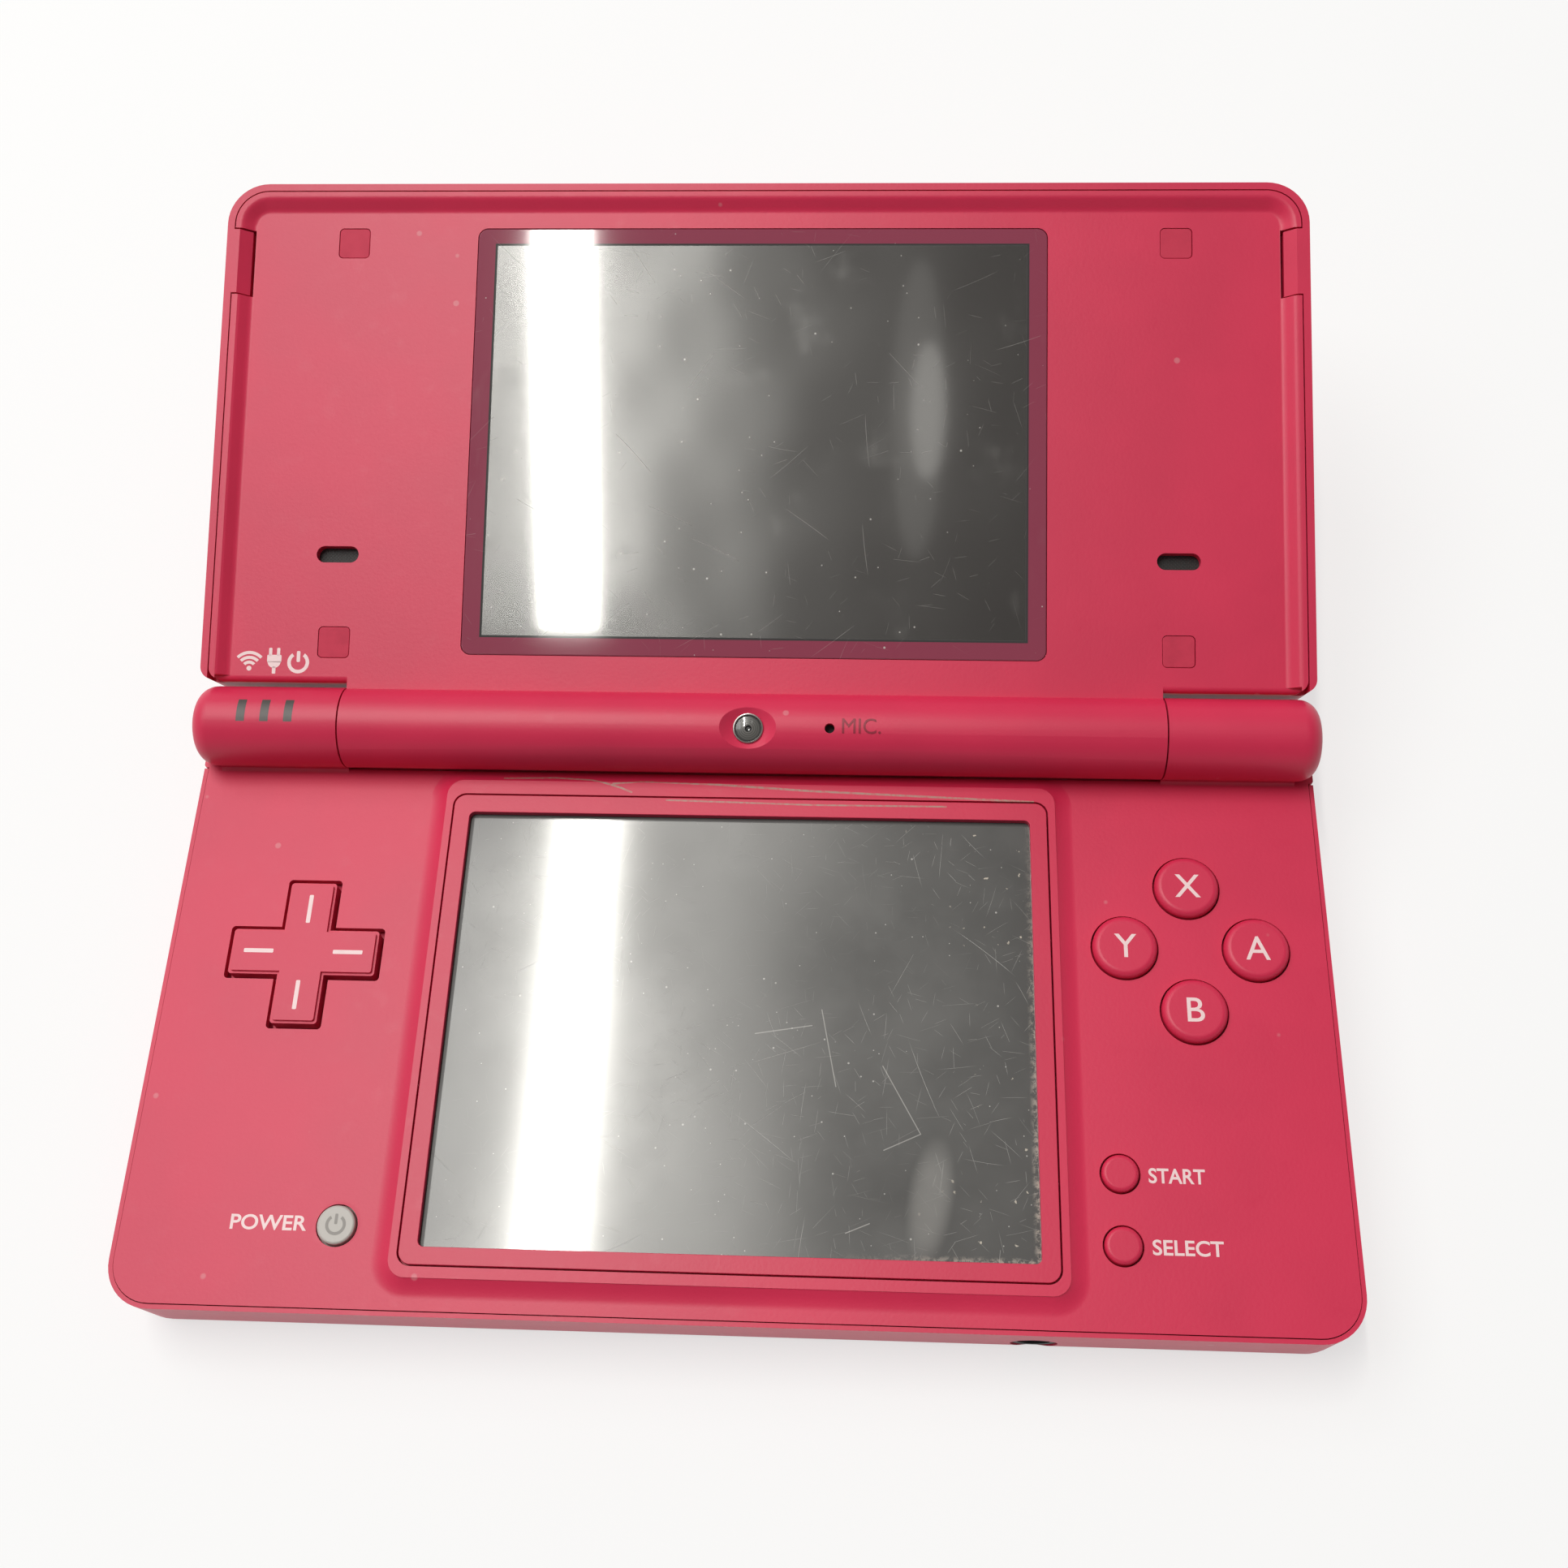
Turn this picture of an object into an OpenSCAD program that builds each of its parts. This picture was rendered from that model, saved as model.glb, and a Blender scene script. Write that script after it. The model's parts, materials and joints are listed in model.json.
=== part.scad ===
// Clamshell handheld game console with two screens, drawn opened at its stop.
// Origin: middle of the closed footprint, on the table. +X is the player's right,
// +Y points to the hinge side and +Z up. The lid is drawn closed and then opened.

/* [Casing] */
// Width over both side walls
body_w = 137; // [132:0.5:150]
// Depth from the front wall to the back of the hinge barrel
body_d = 74.9; // [74.5:0.1:78]
// Rounding of the two front corners, seen from above
front_corner_r = 5.2; // [4:0.1:7]
// Rounding of the two hinge corners and of the barrel ends
rear_corner_r = 2.3; // [2.3:0.1:3.4]
// Height of the deck that carries the buttons
deck_z = 10.3; // [10.2:0.1:11]
// Thickness of the casing walls
wall_t = 1.2; // [1:0.1:1.4]
// Thickness of the casing floor
floor_t = 1.2; // [1:0.1:1.3]
// Thickness of the deck
deck_t = 1.2; // [1:0.1:1.4]
// Rounding along the lower edge of the base
base_edge_r = 2.2; // [1:0.1:2.3]
// Strip of the bottom casing that shows round the deck
rim_w = 0.5; // [0.5:0.1:0.9]
// How far that strip lies below the deck
rim_drop = 0.15; // [0:0.05:0.4]
// Gap between casing parts that meet edge to edge
seam_gap = 0.1; // [0.05:0.05:0.2]

/* [Hinge] */
// Opening angle of the lid at its stop
open_angle = 162; // [150:1:165]
// Height of the hinge axis
hinge_z = 13.4; // [13.3:0.1:13.8]
// From the rear face to the hinge axis
hinge_from_rear = 5.35; // [5.2:0.05:5.6]
// Radius of the hinge barrel
barrel_r = 4.95; // [4.8:0.05:5.2]
// Length of a side barrel
side_barrel_l = 18.4; // [16:0.1:20]
// Gap at each end of the centre barrel
barrel_end_gap = 0.2; // [0.1:0.05:0.4]
// Gap between the centre barrel and its trough
trough_gap = 0.35; // [0.25:0.05:0.5]
// Height of the rear lip of the trough
rear_lip_z = 8.1; // [7.8:0.1:8.2]
// Height of the seam between the two casing parts at the rear
rear_seam_z = 7.5; // [7.3:0.1:7.6]
// Rounding where a side barrel meets the deck
barrel_fillet_r = 0.5; // [0.3:0.1:0.8]
// Radius of the hinge shaft on the right
shaft_r = 1.9; // [1.6:0.1:2.2]
// Outer radius of the hollow hinge tube on the left
hinge_tube_r = 2.6; // [2.2:0.1:3]
// Running gap round the shaft and the tube
shaft_gap = 0.08; // [0.04:0.02:0.2]
// Length of shaft or tube in each of the two barrels it joins
shaft_reach = 5; // [4:0.5:6]

/* [Lid] */
// How far each side of the lid stands in from the base's
lid_inset = 0.5; // [0:0.1:1]
// Height of the closed lid's outside
lid_top_z = 18.9; // [18.9:0.1:19.5]
// Gap between the closed lid's rim and the deck
lid_rim_gap = 0.2; // [0.15:0.05:0.4]
// Depth of the lid's inner face below its rim
lid_face_depth = 1.05; // [1:0.05:1.3]
// Rounding along the outer edge of the lid
lid_edge_r = 1.5; // [1:0.1:2.3]
// Thickness of the lid's side wall
lid_wall_t = 0.9; // [0.8:0.05:1.2]
// Thickness of the lid's outer plate
lid_roof_t = 1.3; // [1:0.1:1.6]
// Thickness of the inner panel
panel_t = 1.2; // [1:0.1:1.3]
// Gap round the inner panel
panel_gap = 0.15; // [0.1:0.05:0.25]
// Flat top of the inner panel's raised rim
panel_rim_w = 0.5; // [0.3:0.05:0.8]
// Width of the slope from the rim down to the inner face
slope_w = 2; // [1.5:0.1:2.6]
// Gap between the side barrels and the lid
lid_end_gap = 0.45; // [0.4:0.05:0.8]
// Length of the catch block on each side of the lid
catch_l = 8.4; // [6:0.1:10]
// Width of a catch block
catch_w = 1.3; // [0.8:0.1:1.6]
// From the lid's free edge to the middle of a catch block
catch_from_edge = 10.2; // [8:0.1:14]

/* [Upper screen] */
// Width of a display module
lcd_w = 70; // [69:0.1:71]
// Height of a display module
lcd_h = 53.4; // [52:0.1:53.8]
// Edge of the clear window outside the display module, at its sides
window_margin_x = 0.9; // [0.5:0.05:1.5]
// The same along its top and bottom
window_margin_y = 0.8; // [0.5:0.05:1.5]
// Corner rounding of the window
window_r = 1.3; // [0.5:0.1:2]
// Thickness of the window
window_t = 0.8; // [0.6:0.1:0.9]
// Middle of the window, front to back, on the closed lid
window_y = -4.45; // [-6:0.05:-3]
// Thickness of the upper display module
upper_lcd_t = 2.3; // [2:0.1:2.6]

/* [Lower screen] */
// How far the frame insert covers the display module at its sides
bezel_cover_x = 0.95; // [0.5:0.05:1.5]
// The same along its front and rear
bezel_cover_y = 0.65; // [0.3:0.05:1.2]
// From the display module's side out to the groove round the insert
groove_margin_x = 1.25; // [1.1:0.05:1.8]
// The same along its front and rear
groove_margin_y = 1.65; // [1.3:0.05:2]
// Middle of the groove rectangle
groove_y = -3.93; // [-4.4:0.01:-3.6]
// Middle of the opening
bezel_open_y = -4.1; // [-4.4:0.01:-3.8]
// Height of the screen frame above the deck
frame_rise = 0.94; // [0.6:0.02:0.98]
// Width of the frame's flat top outside the groove, at its sides
frame_lip_w = 0.85; // [0.4:0.05:1.1]
// The same along the front
frame_lip_front = 1.2; // [0.8:0.05:1.4]
// The same along the rear
frame_lip_rear = 1.8; // [1.2:0.05:2]
// Radius of the hollow flank that leads from the frame down to the deck
frame_flank_r = 4.6; // [3:0.1:5.5]
// Gap of the groove
groove_gap = 0.2; // [0.1:0.02:0.25]
// Depth of the touch surface below the frame's top
touch_depth = 0.85; // [0.7:0.05:0.95]
// Thickness of the touch panel
touch_t = 0.7; // [0.5:0.05:0.8]

/* [Face buttons] */
// From the middle of the side panel to the button diamond, towards the screen
diamond_in = 0.5; // [0:0.05:2]
// Middle of the button diamond, front to back
diamond_y = 6.3; // [5:0.1:8]
// From the middle of the diamond to a button
diamond_r = 7.58; // [7:0.01:8]
// Diameter of a face button
face_button_d = 7.5; // [7:0.1:7.8]
// Height of a face button above the deck
face_button_rise = 0.95; // [0.6:0.05:0.95]
// Travel of a face button
face_travel = 0.5; // [0.3:0.05:0.55]
// Radial gap between a button and its hole
button_gap = 0.2; // [0.1:0.05:0.3]
// Rounding of a button's upper edge
button_edge_r = 0.8; // [0.3:0.1:1]

/* [Direction pad] */
// From the middle of the side panel to the pad's middle, towards the screen
dpad_in = 0.8; // [0:0.05:2]
// Middle of the pad, front to back
dpad_y = 3.63; // [2:0.01:5]
// Tip to tip of the cross
dpad_span = 17.5; // [16:0.1:18]
// Width of an arm of the cross
dpad_arm_w = 5.55; // [5:0.05:6]
// Height of the cross above the deck
dpad_rise = 0.72; // [0.5:0.02:0.75]
// Gap between the cross and its opening
dpad_gap = 0.55; // [0.45:0.05:0.7]
// Radius of the flange under the deck
dpad_flange_r = 9.95; // [9.8:0.05:10.4]
// Radius of the pivot ball
pivot_ball_r = 0.8; // [0.7:0.05:0.85]

/* [Small buttons] */
// From the screen frame to the middle of START and SELECT
menu_from_frame = 5.84; // [5.2:0.01:7.5]
// Front-to-back place of START
start_y = -20.02; // [-21:0.01:-19]
// Front-to-back place of SELECT
select_y = -27.84; // [-28.5:0.01:-27]
// Diameter of START and SELECT
menu_d = 4.1; // [3.6:0.1:4.6]
// Height of START and SELECT above the deck
menu_rise = 0.6; // [0.3:0.05:0.8]
// Travel of the small buttons
menu_travel = 0.4; // [0.2:0.05:0.5]
// From the screen frame to the middle of POWER
power_from_frame = 6.5; // [5.2:0.01:8]
// Front-to-back place of POWER
power_y = -27.95; // [-29:0.01:-26]
// Diameter of POWER
power_d = 4.3; // [3.8:0.1:4.6]
// Height of POWER above the deck
power_rise = 0.3; // [0.1:0.05:0.6]

/* [Shoulder and volume buttons] */
// How far a shoulder button reaches past the barrel seam, towards the middle
shoulder_lap = 0.9; // [0.3:0.1:0.9]
// Height of a shoulder button's lower edge
shoulder_z0 = 2.25; // [2.2:0.05:2.6]
// Gap above and below a shoulder button
shoulder_gap = 0.22; // [0.15:0.01:0.3]
// Wall of a shoulder button
shoulder_t = 1.6; // [1.2:0.1:1.8]
// How far a shoulder button wraps round the side
shoulder_wrap = 7.2; // [5:0.1:7.5]
// Radius of the shoulder pins
shoulder_pin_r = 0.75; // [0.6:0.05:0.9]
// Length of a volume button
volume_l = 6.6; // [5:0.1:7.5]
// Height of a volume button
volume_h = 2.6; // [2:0.1:3]
// From the middle of one volume button to the other
volume_pitch = 9; // [8.5:0.1:11]
// Middle of the volume pair, front to back
volume_y = 2; // [-4:0.5:6]
// Middle of the volume buttons, height
volume_z = 4.3; // [3.6:0.1:4.6]

/* [Battery] */
// Width of the battery
battery_w = 40; // [36:0.5:41]
// Depth of the battery
battery_d = 26; // [22:0.5:26.5]
// Thickness of the battery
battery_t = 4.8; // [4:0.1:4.9]
// Middle of the battery, front to back
battery_y = -21; // [-21.2:0.1:-20.5]
// Thickness of the battery cover
cover_t = 1; // [0.8:0.1:1.1]
// How far the cover overlaps the bay on each side
cover_lap = 2.2; // [2:0.1:2.4]

/* [Card slots and sockets] */
// Width of the game card slot
card_slot_w = 33.6; // [33:0.1:35]
// Height of the game card slot
card_slot_h = 3.95; // [3.6:0.05:4]
// Depth of the game card slot
card_slot_d = 32; // [28:0.5:33]
// Width of the memory card slot
sd_slot_w = 24.2; // [24:0.1:24.6]
// Height of the memory card slot
sd_slot_h = 2.4; // [2.2:0.1:2.8]
// Length of the memory card reader
sd_reader_l = 26; // [24:0.5:28]
// Middle of the memory card slot, front to back
sd_y = -19.5; // [-19.8:0.1:-19.2]
// Radius of the headphone plug's bore
jack_bore_r = 1.8; // [1.75:0.05:1.9]
// Length of the headphone socket
jack_l = 12; // [11:0.5:14]
// From the right side to the middle of the headphone socket
jack_from_side = 34.9; // [34:0.1:35.2]
// Sideways place of the charging socket
charge_x = -30; // [-34:0.5:-26]
// From the barrel seam to the wrist strap holes, towards the middle
strap_in = 10.1; // [8:0.1:12]

/* [Stylus] */
// Radius of the stylus
stylus_r = 2.05; // [1.8:0.05:2.1]
// Length of the stylus
stylus_l = 92; // [80:1:93]
// Gap between the stylus and its sleeve
stylus_gap = 0.15; // [0.1:0.05:0.2]
// Wall of the sleeve
sleeve_t = 0.4; // [0.3:0.05:0.45]
// Middle of the stylus, front to back
stylus_y = -2.8; // [-3:0.1:-2.7]

/* [Cameras, lamps and sound] */
// Radius of the inner camera's ring
inner_ring_r = 1.85; // [1.5:0.05:2.2]
// Half length of the dished recess round the inner camera
recess_half = 2.95; // [2.5:0.05:3.4]
// Sideways place of the microphone hole
mic_x = 9.84; // [9:0.01:12]
// Radius of the microphone hole
mic_r = 0.6; // [0.4:0.05:0.8]
// From the lid's side to the outer camera
outer_cam_from_side = 11; // [9:0.5:14]
// From the lid's free edge to the outer camera
outer_cam_from_edge = 9.5; // [8.5:0.5:11]
// Radius of the outer camera's ring
outer_ring_r = 4.2; // [3.6:0.1:4.6]
// Width of a lamp window in the left barrel
led_w = 1.05; // [0.8:0.05:1.3]
// From one lamp window to the next
led_pitch = 2.93; // [2.5:0.01:3.2]
// From the left side to the middle lamp window
led_from_side = 9.53; // [8.5:0.01:10.5]
// Length of a speaker slot
speaker_slot_l = 5.3; // [4:0.1:6]
// Height of a speaker slot
speaker_slot_h = 2.1; // [1.5:0.1:2.4]
// From the lid's side to the middle of a speaker slot
speaker_from_side = 16.1; // [15:0.1:18]
// Front-to-back place of a speaker slot
speaker_y = 10.56; // [9:0.01:12]
// Size of a rubber pad on the inner face
pad_size = 3.9; // [3.4:0.1:4.4]
// From the lid's side to the middle of a rubber pad
pad_from_side = 16.18; // [15:0.01:18]
// Places of the rubber pads, front to back
pad_ys = [-30, 21.7];

/* [Hidden] */
$fn = 64;

half_w = body_w / 2;
front_y = -body_d / 2;
rear_y = body_d / 2;
hinge_y = rear_y - hinge_from_rear;
barrel_front_y = hinge_y - barrel_r;
barrel_half = half_w - side_barrel_l;
cut = 1;                                  // how far a cutting solid runs past a face

// Screen openings, and the side panels that they leave
window_w = lcd_w + 2 * window_margin_x;
window_h = lcd_h + 2 * window_margin_y;
bezel_open_w = lcd_w - 2 * bezel_cover_x;
bezel_open_h = lcd_h - 2 * bezel_cover_y;
groove_w = lcd_w + 2 * groove_margin_x;
groove_h = lcd_h + 2 * groove_margin_y;
frame_half_w = groove_w / 2 + frame_lip_w;
frame_front = groove_y - groove_h / 2 - frame_lip_front;
frame_rear = groove_y + groove_h / 2 + frame_lip_rear;
frame_corner_r = 2;
flank_drop = 0.1;                         // the flank starts this far below the frame's top
flank_dip = 0.03;                         // its circle runs this far under the deck
side_mid = (frame_half_w + half_w) / 2;
diamond_x = side_mid - diamond_in;
dpad_x = dpad_in - side_mid;
menu_x = frame_half_w + menu_from_frame;
power_x = -frame_half_w - power_from_frame;

// Stack inside the base, from the floor up
deck_under = deck_z - deck_t;
stylus_z = floor_t + sleeve_t + stylus_gap + stylus_r;
board_z = stylus_z + stylus_r + stylus_gap + sleeve_t;
board_t = 0.8;
board_top = board_z + board_t;
touch_top = deck_z + frame_rise - touch_depth;
touch_under = touch_top - touch_t;
sheet_t = 0.2;
ledge_z = deck_z - 0.4;                   // the screen frame insert sits on this ledge
ledge_w = 0.55;
board_half_w = half_w - wall_t - 0.8;
board_front = front_y + wall_t + 0.8;
board_rear = hinge_y - 3.8;

// Battery bay
bay_gap = 0.3;
bay_x = battery_w / 2 + bay_gap;
bay_y0 = battery_y - battery_d / 2 - bay_gap;
bay_y1 = battery_y + battery_d / 2 + bay_gap;
bay_wall_t = 0.8;

// Casing screws: X, Y
screw_x = half_w - 6.5;
screw_front_y = front_y + 4.05;
screw_rear_y = barrel_front_y - 6.75;
case_screws_at = [[-screw_x, screw_front_y], [screw_x, front_y + 3.15],
    [-bay_x - 6.1, screw_front_y], [-screw_x, screw_rear_y], [screw_x, screw_rear_y],
    [7.5 - screw_x, front_y + 23.45]];
boss_r = 1.9;
screw_r = 0.85;
screw_head_r = 1.6;
screw_head_t = 0.8;
screw_head_z = 0.3;

// Lid, in its closed place
lid_half_w = half_w - lid_inset;
speaker_x = lid_half_w - speaker_from_side;
pad_x = lid_half_w - pad_from_side;
outer_cam_x = lid_half_w - outer_cam_from_side;
lid_rim_z = deck_z + lid_rim_gap;
lid_face_z = lid_rim_z + lid_face_depth;
panel_top = lid_face_z + panel_t;
lid_end_y = barrel_front_y - lid_end_gap;
roof_z = lid_top_z - lid_roof_t;
lid_corner_r = front_corner_r;
lid_hinge_corner_r = lid_edge_r + 0.1;
panel_half_w = lid_half_w - lid_wall_t - panel_gap;
panel_front = front_y + lid_wall_t + panel_gap;
panel_corner_r = lid_corner_r - lid_wall_t - panel_gap;
centre_half = barrel_half - barrel_end_gap;
barrel_bore_r = barrel_r - wall_t;
lid_boss_r = 1.7;
lid_head_r = 1.45;
lid_head_t = 0.35;
lid_screw_l = 3.4;                        // into its boss

// Buttons
flange_t = 0.65;
flange_gap = 0.05;
flange_w = 0.55;
flange_top = deck_under - flange_gap;
flange_z = flange_top - flange_t;
dome_gap = 0.06;
face_buttons = [for (a = [0, 90, 180, 270]) [diamond_x + diamond_r * cos(a),
    diamond_y + diamond_r * sin(a)]];     // A, X, Y, B
dpad_top = deck_z + dpad_rise;
dpad_flange_z = board_top + sheet_t + 0.6;
dpad_flange_t = 0.5;
pivot_ball_z = board_top + 0.25 + pivot_ball_r;

// Shoulder buttons
shoulder_x = barrel_half - shoulder_lap;
shoulder_z1 = rear_seam_z - shoulder_gap;
shoulder_floor = shoulder_z0 - shoulder_gap;
shoulder_pin_x = shoulder_x + 1.5;
shoulder_pin_y = rear_y - 2.8;
shoulder_hub_r = 1.6;
shoulder_spring_r = rear_y - shoulder_t - shoulder_pin_y - 0.1;
shoulder_hub_z1 = shoulder_z1 - 1.4;
shoulder_front = rear_y - shoulder_wrap;
shoulder_swing = 1.2;                     // room for the wrapped end as it moves in
trough_t = 1;
trough_under = hinge_z - barrel_r - trough_gap - trough_t;

// Memory card flap
flap_t = 0.9;
flap_z0 = sd_z() - 1.85;
flap_z1 = sd_z() + 1.85;
flap_front = sd_y - sd_slot_w / 2 - 0.7;
flap_pivot_y = sd_y + sd_slot_w / 2 - 0.2;
flap_gap = 0.15;

// Heights that several pieces share
function sd_z() = floor_t + 1.1 + sd_slot_h / 2;
card_slot_z0 = floor_t + 0.65;
sd_reader_x1 = half_w - wall_t - 0.85;
sd_reader_wall = 0.6;
volume_flange_t = 0.4;
volume_flange_w = 0.6;
volume_gap = 0.65;                        // from a volume button to its switch
volume_switch_x = -half_w + wall_t + 0.05 + volume_flange_t + volume_gap;
volume_switch_t = 0.66;
volume_board_t = 0.8;
volume_board_h = 5;
jack_x = half_w - jack_from_side;
strap_x = barrel_half - strap_in;
led_x = led_from_side - half_w;

// ---- Shared shapes -------------------------------------------------------------

// Flat outline with its own rounding at the front (y0) and rear (y1) corners
module outline(x0, x1, y0, y1, rf, rr) {
    translate([x0, y0 + rf]) square([x1 - x0, y1 - y0 - rf - rr]);
    translate([x0 + rf, y0]) square([x1 - x0 - 2 * rf, rf]);
    translate([x0 + rr, y1 - rr]) square([x1 - x0 - 2 * rr, rr]);
    for (x = [x0 + rf, x1 - rf]) translate([x, y0 + rf]) circle(rf);
    for (x = [x0 + rr, x1 - rr]) translate([x, y1 - rr]) circle(rr);
}

module slab(x0, x1, y0, y1, z0, z1, rf, rr)
    translate([0, 0, z0]) linear_extrude(z1 - z0) outline(x0, x1, y0, y1, rf, rr);

module block(x0, x1, y0, y1, z0, z1) translate([x0, y0, z0]) cube([x1 - x0, y1 - y0, z1 - z0]);

// A profile led round an outline: its X is the distance outside the outline, its Y is up
module led_round(x0, x1, y0, y1, rf, rr, rear = true) {
    sides = y1 - y0 - rf - rr;
    translate([x1, y1 - rr, 0]) rotate([90, 0, 0]) linear_extrude(sides) children();
    translate([x0, y0 + rf, 0]) rotate([90, 0, 180]) linear_extrude(sides) children();
    translate([x1 - rf, y0, 0]) rotate([90, 0, 270]) linear_extrude(x1 - x0 - 2 * rf) children();
    translate([x0 + rf, y0 + rf, 0]) rotate([0, 0, 180]) corner(rf) children();
    translate([x1 - rf, y0 + rf, 0]) rotate([0, 0, 270]) corner(rf) children();
    if (rear) {
        translate([x0 + rr, y1, 0]) rotate([90, 0, 90]) linear_extrude(x1 - x0 - 2 * rr) children();
        translate([x1 - rr, y1 - rr, 0]) corner(rr) children();
        translate([x0 + rr, y1 - rr, 0]) rotate([0, 0, 90]) corner(rr) children();
    }
}

module corner(r) rotate_extrude(angle = 90) translate([r, 0]) children();

// What a rounding of radius r takes off an edge whose face lies at height z
module edge_cut(r, z) {
    translate([-r, z]) difference() {
        translate([0, -cut]) square([r + cut, r + cut]);
        translate([0, r]) circle(r);
    }
}

// The same for an upper edge
module upper_edge_cut(r, z) translate([0, z]) mirror([0, 1]) edge_cut(r, 0);

module rod_x(r, x0, x1) translate([x0, 0, 0]) rotate([0, 90, 0]) cylinder(r = r, h = x1 - x0);

module at_hinge() translate([0, hinge_y, hinge_z]) children();

// A Y-Z profile drawn along X
module along_x(x0, x1) translate([x0, 0, 0]) rotate([90, 0, 90]) linear_extrude(x1 - x0) children();

// Puts a closed-lid piece in its open place
module opened() at_hinge() rotate([-open_angle, 0, 0]) translate([0, -hinge_y, -hinge_z]) children();

module both_sides() {
    children();
    mirror([1, 0, 0]) children();
}

// A soft step from height z down by drop, from x = 0 outwards over w
function soft_step(w, z, drop) = [for (i = [0:8]) [w * i / 8, z - drop * (1 - cos(180 * i / 8)) / 2]];

// ---- Base casing ---------------------------------------------------------------

module base_outline_slab(inset, z0, z1)
    slab(-half_w + inset, half_w - inset, front_y + inset, rear_y - inset, z0, z1,
        front_corner_r - inset, rear_corner_r - min(inset, rear_corner_r - 0.5));

module base_bottom_shell() color("#c8305a") difference() {
    union() {
        difference() {
            base_outline_slab(0, 0, deck_z - rim_drop);
            led_round(-half_w, half_w, front_y, rear_y, front_corner_r, rear_corner_r)
                edge_cut(base_edge_r, 0);
            base_outline_slab(wall_t, floor_t, deck_z + cut);
            base_outline_slab(rim_w, deck_under, deck_z + cut);
            // the hinge end of the casing belongs to the top shell
            block(-half_w - cut, half_w + cut, foot_front - seam_gap, rear_y + cut, rear_seam_z,
                deck_z + cut);
        }
        for (p = case_screws_at) translate([p[0], p[1], 0]) cylinder(r = boss_r, h = board_z);
        battery_bay_ring();
    }
    battery_bay_cuts();
    for (p = case_screws_at) translate([p[0], p[1], -cut]) {
        cylinder(r = screw_head_r + 0.15, h = screw_head_z + screw_head_t + cut);
        cylinder(r = screw_r + 0.1, h = board_z + 2 * cut);
    }
    // game card, memory card, stylus, charging plug, headphone plug and wrist strap
    block(-card_slot_w / 2, card_slot_w / 2, rear_y - wall_t - cut, rear_y + cut,
        card_slot_z0, card_slot_z0 + card_slot_h);
    sd_flap_opening();
    translate([0, stylus_y, stylus_z]) rod_x(stylus_r + stylus_gap, half_w - wall_t - cut, half_w + cut);
    translate([charge_x, 0, charge_z()])
        slot_y(charge_w + 0.3, charge_h + 0.3, rear_y - wall_t - cut, rear_y + cut);
    translate([jack_x, front_y - cut, jack_z()]) rotate([-90, 0, 0])
        cylinder(r = jack_snout_r + seam_gap, h = wall_t + 2 * cut);
    for (s = [-1, 1]) translate([strap_x + s * 1.6, 0, 4.2])
        slot_y(2, 2.6, rear_y - wall_t - cut, rear_y + cut);
    for (y = volume_places()) volume_slot(y, button_gap);
    both_sides() block(shoulder_x - 0.3, half_w + cut, shoulder_front - shoulder_swing,
        rear_y + cut, shoulder_floor, rear_seam_z + cut);
}

charge_w = 7.2;
charge_h = 2.8;
charge_body_w = 10;
charge_body_d = 6.8;
charge_body_h = 4.8;
jack_snout_r = 2.5;
jack_body_w = 6;
jack_body_h = 5.2;
function charge_z() = floor_t + charge_body_h / 2 + 0.2;
function jack_z() = floor_t + jack_body_h / 2;

// An opening with round ends, cut through a front or rear wall
module slot_y(w, h, y0, y1) translate([0, y1, 0]) rotate([90, 0, 0]) linear_extrude(y1 - y0)
    outline(-w / 2, w / 2, -h / 2, h / 2, 0.5, 0.5);

cover_screws_x = bay_x + cover_lap / 2;

module battery_bay_ring() {
    lap = cover_lap + 0.9;
    block(-bay_x - lap, bay_x + lap, bay_y0 - lap + 1, bay_y1 + lap - 1, 0.2, cover_t + 0.9);
    block(-bay_x - bay_wall_t, bay_x + bay_wall_t, bay_y0 - bay_wall_t, bay_y1 + bay_wall_t, 0.2,
        board_z - 0.6);
}

module battery_bay_cuts() {
    slab(-bay_x - cover_lap, bay_x + cover_lap, bay_y0 - cover_lap + 1, bay_y1 + cover_lap - 1,
        -cut, cover_t, 2, 2);
    slab(-bay_x, bay_x, bay_y0, bay_y1, -cut, board_z, 0.8, 0.8);
}

module battery_cover() color("#c02c54") difference() {
    slab(-bay_x - cover_lap + seam_gap, bay_x + cover_lap - seam_gap,
        bay_y0 - cover_lap + 1 + seam_gap, bay_y1 + cover_lap - 1 - seam_gap, 0, cover_t,
        2 - seam_gap, 2 - seam_gap);
    for (s = [-1, 1]) translate([s * cover_screws_x, battery_y, -cut]) {
        cylinder(r = 0.62, h = cover_t + 2 * cut);
        cylinder(r = 0.95, h = cut + 0.5);
    }
}

module battery_cover_screws() color("silver")
    for (s = [-1, 1]) translate([s * cover_screws_x, battery_y, 0.1]) difference() {
        union() {
            cylinder(r = 0.9, h = 0.4);
            cylinder(r = 0.6, h = cover_t - 0.1);
        }
        translate([0, 0, -0.1]) {
            translate([-0.6, -0.1, 0]) cube([1.2, 0.2, 0.3]);
            translate([-0.1, -0.6, 0]) cube([0.2, 1.2, 0.3]);
        }
    }

module battery_pack() color("#3a3d40")
    slab(-battery_w / 2, battery_w / 2, battery_y - battery_d / 2, battery_y + battery_d / 2,
        cover_t, cover_t + battery_t, 1.5, 1.5);

module case_screws() color("silver") for (p = case_screws_at) translate([p[0], p[1], screw_head_z])
    difference() {
        union() {
            cylinder(r = screw_head_r, h = screw_head_t);
            cylinder(r = screw_r, h = deck_under - screw_head_z - 0.4);
        }
        for (a = [0, 90]) rotate([0, 0, a]) translate([-0.9, -0.2, -cut]) cube([1.8, 0.4, cut + 0.5]);
    }

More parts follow.
